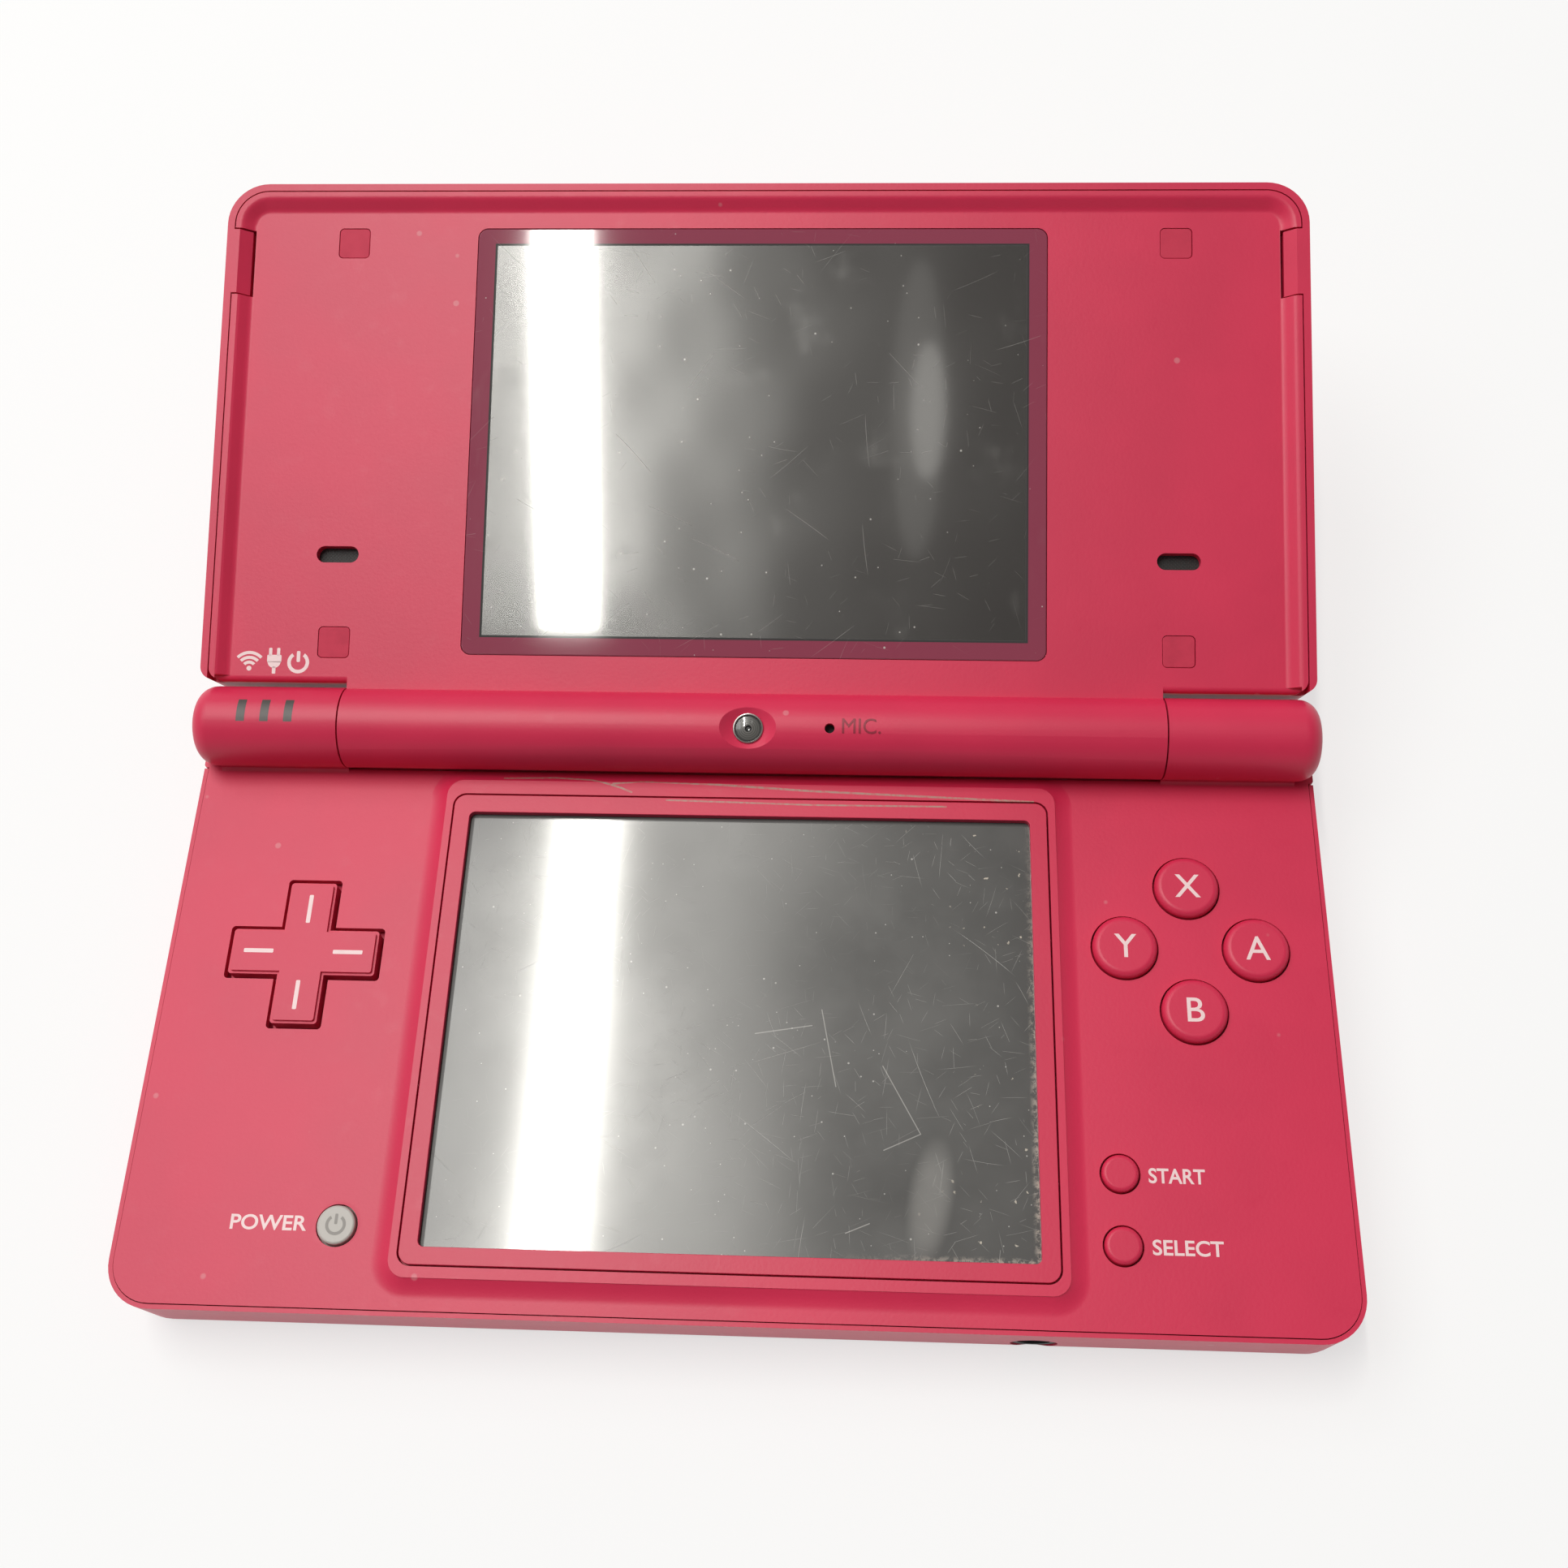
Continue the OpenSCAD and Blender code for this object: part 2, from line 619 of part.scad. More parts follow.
module base_top_shell() color("#d23a62") difference() {
    union() {
        deck();
        screen_frame();
        trough();
        both_sides() side_barrel();
        for (p = case_screws_at) translate([p[0], p[1], board_top])
            cylinder(r = boss_r, h = deck_z - board_top - 0.6);
    }
    slab(-groove_w / 2, groove_w / 2, groove_y - groove_h / 2, groove_y + groove_h / 2,
        ledge_z, deck_z + 2 * cut, 1.6, 1.6);
    slab(-groove_w / 2 + ledge_w, groove_w / 2 - ledge_w, groove_y - groove_h / 2 + ledge_w,
        groove_y + groove_h / 2 - ledge_w, deck_under - cut, deck_z + cut, 1, 1);
    for (p = face_buttons) button_hole(p[0], p[1], face_button_d / 2);
    button_hole(menu_x, start_y, menu_d / 2);
    button_hole(menu_x, select_y, menu_d / 2);
    button_hole(power_x, power_y, power_d / 2);
    translate([power_x, power_y, deck_z - 0.2])
        cylinder(r1 = power_d / 2 + 0.3, r2 = power_d / 2 + 0.7, h = 0.21);
    translate([dpad_x, dpad_y, deck_under - cut]) linear_extrude(deck_t + 2 * cut)
        cross(dpad_span / 2 + dpad_gap, dpad_arm_w / 2 + dpad_gap * 0.9, 0.5);
    for (p = case_screws_at) translate([p[0], p[1], board_top - cut])
        cylinder(r = screw_r, h = deck_under - board_top + cut - 0.3);
    both_sides() translate([shoulder_pin_x, shoulder_pin_y, rear_seam_z - cut])
        cylinder(r = shoulder_pin_r, h = cut + 0.6);
    led_openings();
}

module button_hole(x, y, r) translate([x, y, deck_under - cut])
    cylinder(r = r + button_gap, h = deck_t + 3 * cut);

module cross(l, w, r) {
    outline(-l, l, -w, w, r, r);
    outline(-w, w, -l, l, r, r);
}

deck_inset = rim_w + seam_gap;

// A side barrel meets the deck here, and its foot starts a little in front of that
barrel_meets_deck = hinge_y - sqrt(barrel_r * barrel_r - (hinge_z - deck_z) * (hinge_z - deck_z));
foot_front = barrel_meets_deck - 0.4;

// Fillet that leads from the deck up to the round of a side barrel
module barrel_fillet() {
    up = hinge_z - deck_z - barrel_fillet_r;
    reach = barrel_r + barrel_fillet_r;
    y = hinge_y - sqrt(reach * reach - up * up);
    touch = barrel_r / reach;             // where the fillet ends on the barrel
    difference() {
        translate([y, deck_z - 0.3]) square([hinge_y - 3 - y, hinge_z - up * touch - deck_z + 0.3]);
        translate([y, deck_z + barrel_fillet_r]) circle(barrel_fillet_r);
    }
}

module deck() difference() {
    union() {
        slab(-half_w + deck_inset, half_w - deck_inset, front_y + deck_inset, barrel_front_y + 1,
            deck_under, deck_z, front_corner_r - deck_inset, 0.5);
        both_sides() along_x(barrel_half, half_w - rear_corner_r) barrel_fillet();
    }
    at_hinge() rod_x(barrel_r + trough_gap, -barrel_half, barrel_half);
}

// Hollow flank: a quarter of a groove, from under the frame's edge out to the deck
module flank_profile() {
    low = frame_flank_r - flank_dip;      // from the circle's middle down to the deck
    high = low - frame_rise + flank_drop;
    reach = sqrt(frame_flank_r * frame_flank_r - high * high);
    w = reach - sqrt(frame_flank_r * frame_flank_r - low * low);
    difference() {
        translate([-0.3, deck_z - 0.2]) square([0.3 + w, frame_rise - flank_drop + 0.2]);
        translate([reach, deck_z + low]) circle(frame_flank_r, $fn = 192);
    }
}

// Raised frame round the lower screen
module screen_frame() difference() {
    union() {
        slab(-frame_half_w, frame_half_w, frame_front, frame_rear, deck_z - 0.2,
            deck_z + frame_rise, frame_corner_r, frame_corner_r);
        led_round(-frame_half_w, frame_half_w, frame_front, frame_rear, frame_corner_r,
            frame_corner_r) flank_profile();
    }
    at_hinge() rod_x(barrel_r + trough_gap, -barrel_half, barrel_half);
}

// Channel that the centre barrel turns in, with its low rear lip
module trough() difference() {
    union() {
        at_hinge() rod_x(barrel_r + trough_gap + trough_t, -barrel_half - 0.5, barrel_half + 0.5);
        block(-barrel_half - 0.5, barrel_half + 0.5, hinge_y + 2, rear_y, rear_seam_z, rear_lip_z);
    }
    at_hinge() rod_x(barrel_r + trough_gap, -barrel_half, barrel_half);
    block(-half_w, half_w, front_y, hinge_y, deck_z, lid_top_z + 5);
    block(-half_w, half_w, hinge_y - 0.01, rear_y + 5, rear_lip_z, lid_top_z + 5);
}

// Side barrel: round with a rounded end, over a foot that fills the space behind the deck
module side_barrel() difference() {
    union() {
        at_hinge() rotate([90, 0, 90]) rotate_extrude() intersection() {
            outline(-barrel_r, barrel_r, 2 * barrel_half - half_w, half_w, rear_corner_r, rear_corner_r);
            translate([0, barrel_half]) square([barrel_r, half_w]);
        }
        foot(foot_front, deck_z);
        foot(hinge_y, hinge_z);
    }
    at_hinge() {
        rod_x(barrel_bore_r, barrel_half + wall_t, half_w - barrel_end_t);
        rod_x(hinge_tube_r + shaft_gap, barrel_half - cut, barrel_half + wall_t + cut);
    }
    // hollow foot
    block(barrel_half + wall_t, half_w - barrel_end_t, foot_front + wall_t + 0.3,
        hinge_y + barrel_r - wall_t - 0.3, rear_seam_z + 1, hinge_z - 1);
}

barrel_end_t = 2.6;

module foot(y0, z1) translate([0, 0, rear_seam_z]) linear_extrude(z1 - rear_seam_z) intersection() {
    outline(2 * barrel_half - half_w, half_w, y0, hinge_y + barrel_r, 0.4, rear_corner_r);
    translate([barrel_half, 0]) square(half_w);
}

led_arc = [75, 109];

module led_openings() for (i = [-1:1]) translate([led_x + i * led_pitch, hinge_y, hinge_z])
    led_wedge(led_w, barrel_bore_r - 0.3, barrel_r + cut);

module led_wedge(w, r0, r1) rotate([led_arc[0], 0, 0]) rotate([90, 0, 90])
    rotate_extrude(angle = led_arc[1] - led_arc[0]) translate([r0, -w / 2]) square([r1 - r0, w]);

module led_windows() color("#6d6a66") for (i = [-1:1]) translate([led_x + i * led_pitch, hinge_y, hinge_z])
    led_wedge(led_w, barrel_bore_r - 0.6, barrel_r);

led_board_z = hinge_z + 1.9;
led_board_half_d = 2.6;

module led_board() color("#2f6b45") {
    block(led_x - led_pitch - 1.6, led_x + led_pitch + 1.6, hinge_y - led_board_half_d,
        hinge_y + led_board_half_d, led_board_z, led_board_z + 0.6);
    for (i = [-1:1]) block(led_x + i * led_pitch - 0.5, led_x + i * led_pitch + 0.5,
        hinge_y - 0.6, hinge_y + 0.6, led_board_z + 0.59, led_board_z + 1.2);
}

// ---- Inside the base -----------------------------------------------------------

module main_board() color("#2c6e49") difference() {
    block(-board_half_w, board_half_w, board_front, board_rear, board_z, board_top);
    for (s = [-1, 1]) translate([s * half_w, front_y, board_z - cut])
        rotate([0, 0, 45]) cube([8.2, 8.2, 10], center = true);
    for (p = case_screws_at) translate([p[0], p[1], board_z - cut])
        cylinder(r = screw_r + 0.25, h = board_t + 2 * cut);
}

module lower_lcd() color("#2b2a2c")
    slab(-lcd_w / 2, lcd_w / 2, bezel_open_y - lcd_h / 2, bezel_open_y + lcd_h / 2, board_top, touch_under,
        0.6, 0.6);

touch_margin = 0.25;
touch_half_w = groove_w / 2 - ledge_w - touch_margin;
touch_half_h = groove_h / 2 - ledge_w - touch_margin;

module touch_panel() color("#57534f")
    slab(-touch_half_w, touch_half_w, groove_y - touch_half_h, groove_y + touch_half_h, touch_under,
        touch_top, 0.8, 0.8);

module touch_screen_bezel() color("#b83058") difference() {
    union() {
        slab(-groove_w / 2 + groove_gap, groove_w / 2 - groove_gap, groove_y - groove_h / 2 + groove_gap,
            groove_y + groove_h / 2 - groove_gap, touch_top, deck_z + frame_rise, 1.45, 1.45);
        difference() {
            slab(-groove_w / 2 + groove_gap, groove_w / 2 - groove_gap, groove_y - groove_h / 2 + groove_gap,
                groove_y + groove_h / 2 - groove_gap, ledge_z, deck_z + 0.5, 1.45, 1.45);
            slab(-touch_half_w - 0.1, touch_half_w + 0.1, groove_y - touch_half_h - 0.1,
                groove_y + touch_half_h + 0.1, 0, deck_z + cut, 0.9, 0.9);
        }
    }
    slab(-bezel_open_w / 2, bezel_open_w / 2, bezel_open_y - bezel_open_h / 2,
        bezel_open_y + bezel_open_h / 2, 0, deck_z + 2 * cut, 0.7, 0.7);
}

// ---- Buttons -------------------------------------------------------------------

// Round button whose flange hangs just under the deck
module round_button(x, y, d, rise, edge) translate([x, y, 0]) rotate_extrude() {
    r = d / 2;
    top = deck_z + rise;
    translate([0, flange_z]) square([r + flange_w, flange_t]);
    translate([0, flange_z]) square([r, top - edge - flange_z]);
    translate([0, top - edge]) square([r - edge, edge]);
    translate([r - edge, top - edge]) intersection() {
        circle(edge);
        square(edge);
    }
}

module face_button(k) color("#cf3a60")
    round_button(face_buttons[k][0], face_buttons[k][1], face_button_d, face_button_rise, button_edge_r);
module button_a() face_button(0);
module button_x() face_button(1);
module button_y() face_button(2);
module button_b() face_button(3);
module button_start() color("#cf3a60") round_button(menu_x, start_y, menu_d, menu_rise, 0.5);
module button_select() color("#cf3a60") round_button(menu_x, select_y, menu_d, menu_rise, 0.5);
module button_power() color("#b9b4b0") round_button(power_x, power_y, power_d, power_rise, 0.3);

module contact_dome(x, y, r, travel) translate([x, y, board_top])
    cylinder(r1 = r, r2 = r * 0.7, h = flange_z - travel - dome_gap - board_top);

dome_r = 2.6;
small_dome_r = 1.9;
sheet_margin = 1.1;

module face_contact_sheet() color("#d8d4cc") {
    for (p = face_buttons) contact_dome(p[0], p[1], dome_r, face_travel);
    half = diamond_r * sqrt(0.5) + dome_r + sheet_margin;
    translate([diamond_x, diamond_y, board_top]) linear_extrude(sheet_t) rotate(45)
        outline(-half, half, -half, half, dome_r, dome_r);
}

module menu_contact_sheet() color("#d8d4cc") {
    half = small_dome_r + sheet_margin;
    for (y = [start_y, select_y]) contact_dome(menu_x, y, small_dome_r, menu_travel);
    slab(menu_x - half, menu_x + half, select_y - half, start_y + half, board_top,
        board_top + sheet_t, 1, 1);
}

module power_contact_sheet() color("#d8d4cc") {
    half = small_dome_r + sheet_margin;
    contact_dome(power_x, power_y, small_dome_r, menu_travel);
    slab(power_x - half, power_x + half, power_y - half, power_y + half, board_top,
        board_top + sheet_t, 1, 1);
}

module dpad_cross() color("#c4385c") translate([dpad_x, dpad_y, 0]) difference() {
    union() {
        translate([0, 0, dpad_flange_z]) linear_extrude(dpad_top - 0.35 - dpad_flange_z)
            cross(dpad_span / 2, dpad_arm_w / 2, 0.4);
        translate([0, 0, dpad_flange_z]) linear_extrude(dpad_top - dpad_flange_z)
            cross(dpad_span / 2 - 0.3, dpad_arm_w / 2 - 0.3, 0.3);
        translate([0, 0, dpad_flange_z]) cylinder(r = dpad_flange_r, h = dpad_flange_t);
    }
    translate([0, 0, pivot_ball_z]) sphere(pivot_ball_r + 0.06);
    translate([0, 0, dpad_flange_z - cut])
        cylinder(r = pivot_ball_r + 0.06, h = pivot_ball_z - dpad_flange_z + cut);
}

module dpad_pivot_ball() color("silver") translate([dpad_x, dpad_y, pivot_ball_z]) sphere(pivot_ball_r);

module dpad_contact_sheet() color("#d8d4cc") translate([dpad_x, dpad_y, board_top]) difference() {
    cylinder(r = dpad_flange_r - 0.95, h = sheet_t);
    translate([0, 0, -cut]) cylinder(r = pivot_ball_r + 1.2, h = 3 * cut);
}

// ---- Shoulder and volume buttons ------------------------------------------------

module shoulder_button_right() color("#c8305a") difference() {
    union() {
        difference() {
            base_outline_slab(0, shoulder_z0, shoulder_z1);
            base_outline_slab(shoulder_t, 0, deck_z);
            block(-half_w - cut, shoulder_x, front_y - cut, rear_y + cut, 0, deck_z);
            block(-half_w - cut, half_w + cut, front_y - cut, shoulder_front, 0, deck_z);
        }
        translate([shoulder_pin_x, shoulder_pin_y, shoulder_z0])
            cylinder(r = shoulder_hub_r, h = shoulder_hub_z1 - shoulder_z0);
        block(shoulder_pin_x, shoulder_pin_x + 1.6, shoulder_pin_y, rear_y - 1, shoulder_z0, shoulder_hub_z1);
    }
    translate([shoulder_pin_x, shoulder_pin_y, 0]) cylinder(r = shoulder_pin_r + 0.06, h = deck_z);
}

module shoulder_button_left() mirror([1, 0, 0]) shoulder_button_right();

module shoulder_pins() color("silver") both_sides()
    translate([shoulder_pin_x, shoulder_pin_y, floor_t])
        cylinder(r = shoulder_pin_r, h = rear_seam_z + 0.6 - floor_t);

module shoulder_springs() color("silver") both_sides()
    translate([shoulder_pin_x, shoulder_pin_y, shoulder_hub_z1 + 0.15]) difference() {
        cylinder(r = shoulder_spring_r, h = trough_under - 0.05 - shoulder_hub_z1 - 0.15);
        translate([0, 0, -cut]) cylinder(r = shoulder_pin_r, h = 5);
    }

switch_w = 4;
switch_d = 2;
switch_h = 5;
switch_from_side = 4.5;
plunger_r = 0.9;
plunger_l = 0.74;
plunger_gap = 0.86;                       // the button swings through most of it

module shoulder_switches() color("#303236") both_sides() {
    x1 = half_w - switch_from_side;
    y1 = rear_y - shoulder_t - plunger_gap - plunger_l;
    block(x1 - switch_w, x1, y1 - switch_d, y1, floor_t, floor_t + switch_h);
    translate([x1 - switch_w / 2, y1 - 0.01, (shoulder_z0 + shoulder_z1) / 2]) rotate([-90, 0, 0])
        cylinder(r = plunger_r, h = plunger_l + 0.01);
}

function volume_places() = [volume_y - volume_pitch / 2, volume_y + volume_pitch / 2];

// Opening or body of a volume button: grown by gap on every side
module volume_slot(y, gap) translate([-half_w - cut, y, volume_z]) rotate([90, 0, 90])
    linear_extrude(wall_t + 1.6)
        outline(-volume_l / 2 - gap, volume_l / 2 + gap, -volume_h / 2 - gap, volume_h / 2 + gap, 1, 1);

module volume_button(y) color("#c8305a") {
    translate([-half_w - 0.1, y, volume_z]) rotate([90, 0, 90]) linear_extrude(wall_t + 0.15)
        outline(-volume_l / 2, volume_l / 2, -volume_h / 2, volume_h / 2, 1, 1);
    translate([-half_w + wall_t + 0.05, y, volume_z]) rotate([90, 0, 90]) linear_extrude(volume_flange_t)
        outline(-volume_l / 2 - volume_flange_w, volume_l / 2 + volume_flange_w,
            -volume_h / 2 - volume_flange_w, volume_h / 2 + volume_flange_w, 1, 1);
}
module volume_down_button() volume_button(volume_places()[0]);
module volume_up_button() volume_button(volume_places()[1]);

module volume_switch_board() color("#2c6e49") {
    reach = (volume_pitch + volume_l) / 2 + 1.7;
    x0 = volume_switch_x + volume_switch_t - 0.01;
    block(x0, x0 + volume_board_t, volume_y - reach, volume_y + reach, floor_t, floor_t + volume_board_h);
    for (y = volume_places()) block(volume_switch_x, x0 + 0.01, y - volume_l / 4, y + volume_l / 4,
        volume_z - volume_h / 3, volume_z + volume_h / 3);
}

// ---- Card readers, sockets, stylus and wireless module -----------------------------

module card_slot_reader() color("#b8bcc0") difference() {
    block(-card_slot_w / 2 - 1.4, card_slot_w / 2 + 1.4, rear_y - wall_t - card_slot_d - 3,
        rear_y - wall_t, floor_t, card_slot_z0 + card_slot_h + 0.5);
    block(-card_slot_w / 2, card_slot_w / 2, rear_y - wall_t - card_slot_d, rear_y, card_slot_z0,
        card_slot_z0 + card_slot_h);
}

module sd_card_reader() color("#b8bcc0") difference() {
    block(sd_reader_x1 - sd_reader_l, sd_reader_x1, sd_y - sd_slot_w / 2 - sd_reader_wall,
        sd_y + sd_slot_w / 2 + sd_reader_wall,
        floor_t, sd_z() + sd_slot_h / 2 + 0.8);
    block(sd_reader_x1 - sd_reader_l + 2, sd_reader_x1 + cut, sd_y - sd_slot_w / 2, sd_y + sd_slot_w / 2,
        sd_z() - sd_slot_h / 2, sd_z() + sd_slot_h / 2);
}

// Flap: a thin plate with a knuckle whose pin turns in the side wall
module flap_shape(gap) {
    block(half_w - flap_t - gap, half_w + (gap > 0 ? cut : 0), flap_front - gap, flap_pivot_y,
        flap_z0 - gap, flap_z1 + gap);
    translate([half_w - flap_t, flap_pivot_y, flap_z0 - gap])
        cylinder(r = flap_t + gap, h = flap_z1 - flap_z0 + 2 * gap);
}

module sd_flap_opening() {
    flap_shape(flap_gap);
    // room for the root of the flap as it swings out
    block(half_w - flap_t, half_w + cut, flap_pivot_y - cut, flap_pivot_y + flap_t + flap_gap,
        flap_z0 - flap_gap, flap_z1 + flap_gap);
    block(half_w - wall_t - cut, half_w, sd_y - sd_slot_w / 2, sd_y + sd_slot_w / 2 - 1.6,
        sd_z() - sd_slot_h / 2, sd_z() + sd_slot_h / 2);
    translate([half_w - flap_t, flap_pivot_y, flap_z0 - 0.6]) cylinder(r = 0.35, h = flap_z1 - flap_z0 + 1.2);
}

module sd_slot_cover() color("#c8305a") {
    flap_shape(0);
    translate([half_w - flap_t, flap_pivot_y, flap_z0 - 0.5]) cylinder(r = 0.3, h = flap_z1 - flap_z0 + 1);
}

module stylus() color("#c8305a") translate([0, stylus_y, stylus_z]) rotate([0, -90, 0])
    translate([0, 0, -half_w]) rotate_extrude() {
        square([stylus_r, stylus_l - 6]);
        polygon([[0, stylus_l - 6], [stylus_r - 0.3, stylus_l - 6], [0.8, stylus_l - 1],
            [0.45, stylus_l], [0, stylus_l]]);
    }

sleeve_r = stylus_r + stylus_gap + sleeve_t;

module stylus_sleeve() color("#8d9094") translate([0, stylus_y, stylus_z]) difference() {
    rod_x(sleeve_r, half_w - stylus_l - 1.5, half_w - wall_t);
    rod_x(stylus_r + stylus_gap, half_w - stylus_l - 0.5, half_w);
}

module headphone_socket() color("#26282b") translate([jack_x, front_y, jack_z()]) difference() {
    union() {
        rotate([-90, 0, 0]) translate([0, 0, 0.2]) cylinder(r = jack_snout_r, h = 2);
        block(-jack_body_w / 2, jack_body_w / 2, wall_t + 0.2, jack_l + 1, -jack_body_h / 2,
            jack_body_h / 2);
    }
    rotate([-90, 0, 0]) translate([0, 0, 0]) cylinder(r = jack_bore_r, h = jack_l + 0.2);
}

module charge_socket() color("#26282b") {
    charge_housing();
    translate([charge_x, rear_y - wall_t - charge_body_d + 0.9, charge_z()])
        block(-charge_w * 0.3, charge_w * 0.3, 0, charge_body_d - 1.4, -0.35, 0.35);
}

module charge_housing() difference() {
    y0 = rear_y - wall_t - charge_body_d;
    block(charge_x - charge_body_w / 2, charge_x + charge_body_w / 2, y0, rear_y - wall_t, floor_t,
        floor_t + charge_body_h);
    translate([charge_x, 0, charge_z()]) slot_y(charge_w, charge_h, y0 + 1, rear_y + cut);
}

module_w = 22;
module_d = 18;
module_t = 2.4;

module wireless_module() color("#9aa0a6") translate([-screw_x + 4, stylus_y + sleeve_r + 1.2, 0])
    block(0, module_w, 0, module_d, board_z - module_t, board_z);

// ---- Hinge -----------------------------------------------------------------------

module hinge_cam_unit() color("#8d9094") at_hinge() difference() {
    rod_x(barrel_bore_r - 0.1, barrel_half + wall_t + 0.1, half_w - wall_t - 3);
    rod_x(shaft_r + shaft_gap, barrel_half, barrel_half + wall_t + shaft_reach + 1);
}

module hinge_shaft() color("silver") at_hinge() {
    rod_x(shaft_r, barrel_half - shaft_reach, barrel_half + wall_t + shaft_reach);
    rod_x(hinge_tube_r, barrel_half - wall_t - 0.4, barrel_half + wall_t * 0.8);
}

module hinge_tube() color("silver") at_hinge() difference() {
    rod_x(hinge_tube_r, -barrel_half - shaft_reach + 2, -barrel_half + shaft_reach);
    rod_x(hinge_tube_r - 0.8, -half_w, 0);
}

// ---- Lid, drawn closed -----------------------------------------------------------

// Y-Z outline of the lid's hinge side: the plate runs over into the barrel
module neck_profile() {
    polygon([[lid_end_y - 6, lid_face_z + 0.5], [lid_end_y - 6, lid_top_z], [lid_end_y - 1, lid_top_z],
        [hinge_y, hinge_z + barrel_r], [hinge_y, lid_face_z + 0.5]]);
    translate([hinge_y, hinge_z]) circle(barrel_r, $fn = 96);
}

module barrel_hollow() at_hinge() {
    rod_x(barrel_bore_r, -centre_half + wall_t, centre_half - wall_t);
    rod_x(hinge_tube_r, -centre_half - cut, centre_half + cut);
}

catch_y = front_y + catch_from_edge;

module lid_outer_shell() color("#c8305a") opened() difference() {
    union() {
        difference() {
            slab(-lid_half_w, lid_half_w, front_y, lid_end_y, lid_rim_z, lid_top_z, lid_corner_r,
                lid_hinge_corner_r);
            led_round(-lid_half_w, lid_half_w, front_y, lid_end_y, lid_corner_r, lid_hinge_corner_r)
                upper_edge_cut(lid_edge_r, lid_top_z);
            slab(-lid_half_w + lid_wall_t, lid_half_w - lid_wall_t, front_y + lid_wall_t, lid_end_y - wall_t,
                0, roof_z, lid_corner_r - lid_wall_t, 1);
            // the inner panel runs out over the hinge side
            slab(-lid_half_w + lid_wall_t, lid_half_w - lid_wall_t, front_y + 20, lid_end_y + cut, 0,
                panel_top, 1, 1);
            both_sides() block(0, centre_half, lid_end_y - wall_t - cut, lid_end_y + cut, 0, hinge_z);
        }
        difference() {
            along_x(-centre_half, centre_half) neck_profile();
            block(-half_w, half_w, front_y, rear_y + cut, 0, hinge_z);
            slab(-lid_half_w + lid_wall_t, lid_half_w - lid_wall_t, front_y + lid_wall_t,
                lid_end_y - wall_t, 0, roof_z, 4, 1);
        }
        for (x = [-pad_x, pad_x], y = pad_ys) translate([x, y, panel_top])
            cylinder(r = lid_boss_r, h = roof_z - panel_top + 0.2);
        both_sides() lid_catch();
    }
    barrel_hollow();
    for (x = [-pad_x, pad_x], y = pad_ys) translate([x, y, panel_top - cut])
        cylinder(r = screw_r, h = cut + lid_screw_l + 0.2);
    translate([outer_cam_x, outer_cam_y, roof_z - cut]) cylinder(r = outer_ring_r, h = 5);
    translate([outer_cam_x - lamp_pitch, outer_cam_y, roof_z - cut]) cylinder(r = lamp_r, h = 5);
}

// Catch block: a wedge of the outer shell that stands in a notch of the inner panel
module lid_catch() {
    x1 = lid_half_w - lid_wall_t + 0.2;
    translate([0, catch_y + catch_l / 2, 0]) rotate([90, 0, 0]) linear_extrude(catch_l)
        polygon([[x1, lid_rim_z], [x1 - catch_w * 0.7, lid_rim_z], [x1 - catch_w - 1, lid_face_z],
            [x1 - catch_w - 1, panel_top], [x1, panel_top]]);
}

outer_cam_y = front_y + outer_cam_from_edge;
lamp_pitch = 8;
lamp_r = 0.9;

// What is taken out of the inner panel: the flat face and the soft slope on three sides
module face_dish() {
    inset = panel_rim_w + slope_w;
    x1 = panel_half_w - inset;
    y0 = panel_front + inset;
    y1 = lid_end_y + 10;
    slab(-x1, x1, y0, y1, lid_rim_z - cut, lid_face_z, panel_corner_r - inset, 1);
    led_round(-x1, x1, y0, y1, panel_corner_r - inset, 1, false) polygon(concat(
        [[-0.3, lid_rim_z - cut], [-0.3, lid_face_z]], soft_step(slope_w, lid_face_z, lid_face_depth),
        [[slope_w, lid_rim_z - cut]]));
}

module lid_inner_panel() color("#d23a62") opened() difference() {
    union() {
        difference() {
            slab(-panel_half_w, panel_half_w, panel_front, lid_end_y, lid_rim_z, panel_top,
                panel_corner_r, 1.5);
            face_dish();
            // rounded lower edge along the hinge side, outside the centre barrel
            both_sides() translate([0, lid_end_y, 0]) along_x(centre_half, lid_half_w + cut)
                edge_cut(0.7, lid_face_z);
        }
        // lower half of the centre barrel
        difference() {
            along_x(-centre_half, centre_half) union() {
                translate([hinge_y, hinge_z]) circle(barrel_r, $fn = 96);
                translate([lid_end_y - 2, lid_face_z]) square([hinge_y - lid_end_y + 2, panel_t]);
            }
            block(-half_w, half_w, front_y, rear_y + cut, hinge_z, lid_top_z + 5);
        }
    }
    barrel_hollow();
    window_pocket();
    for (x = [-speaker_x, speaker_x]) translate([x, speaker_y, lid_face_z - cut])
        linear_extrude(panel_t + 2 * cut) obround(speaker_slot_l, speaker_slot_h);
    for (x = [-pad_x, pad_x], y = pad_ys) {
        h = pad_size / 2 + 0.05;
        slab(x - h, x + h, y - h, y + h, lid_face_z - cut, lid_face_z + pad_t, 0.6, 0.6);
        translate([x, y, 0]) cylinder(r = screw_r + 0.15, h = panel_top + cut);
        translate([x, y, lid_face_z]) cylinder(r = lid_head_r + 0.1, h = pad_t + lid_head_t);
    }
    both_sides() block(lid_half_w - lid_wall_t - catch_w - 1.2, lid_half_w, catch_y - catch_l / 2 - 0.2,
        catch_y + catch_l / 2 + 0.2, 0, panel_top + cut);
    inner_camera_cuts();
}

pad_t = 0.6;

module obround(l, h) {
    square([l - h, h], center = true);
    for (s = [-1, 1]) translate([s * (l - h) / 2, 0]) circle(h / 2);
}

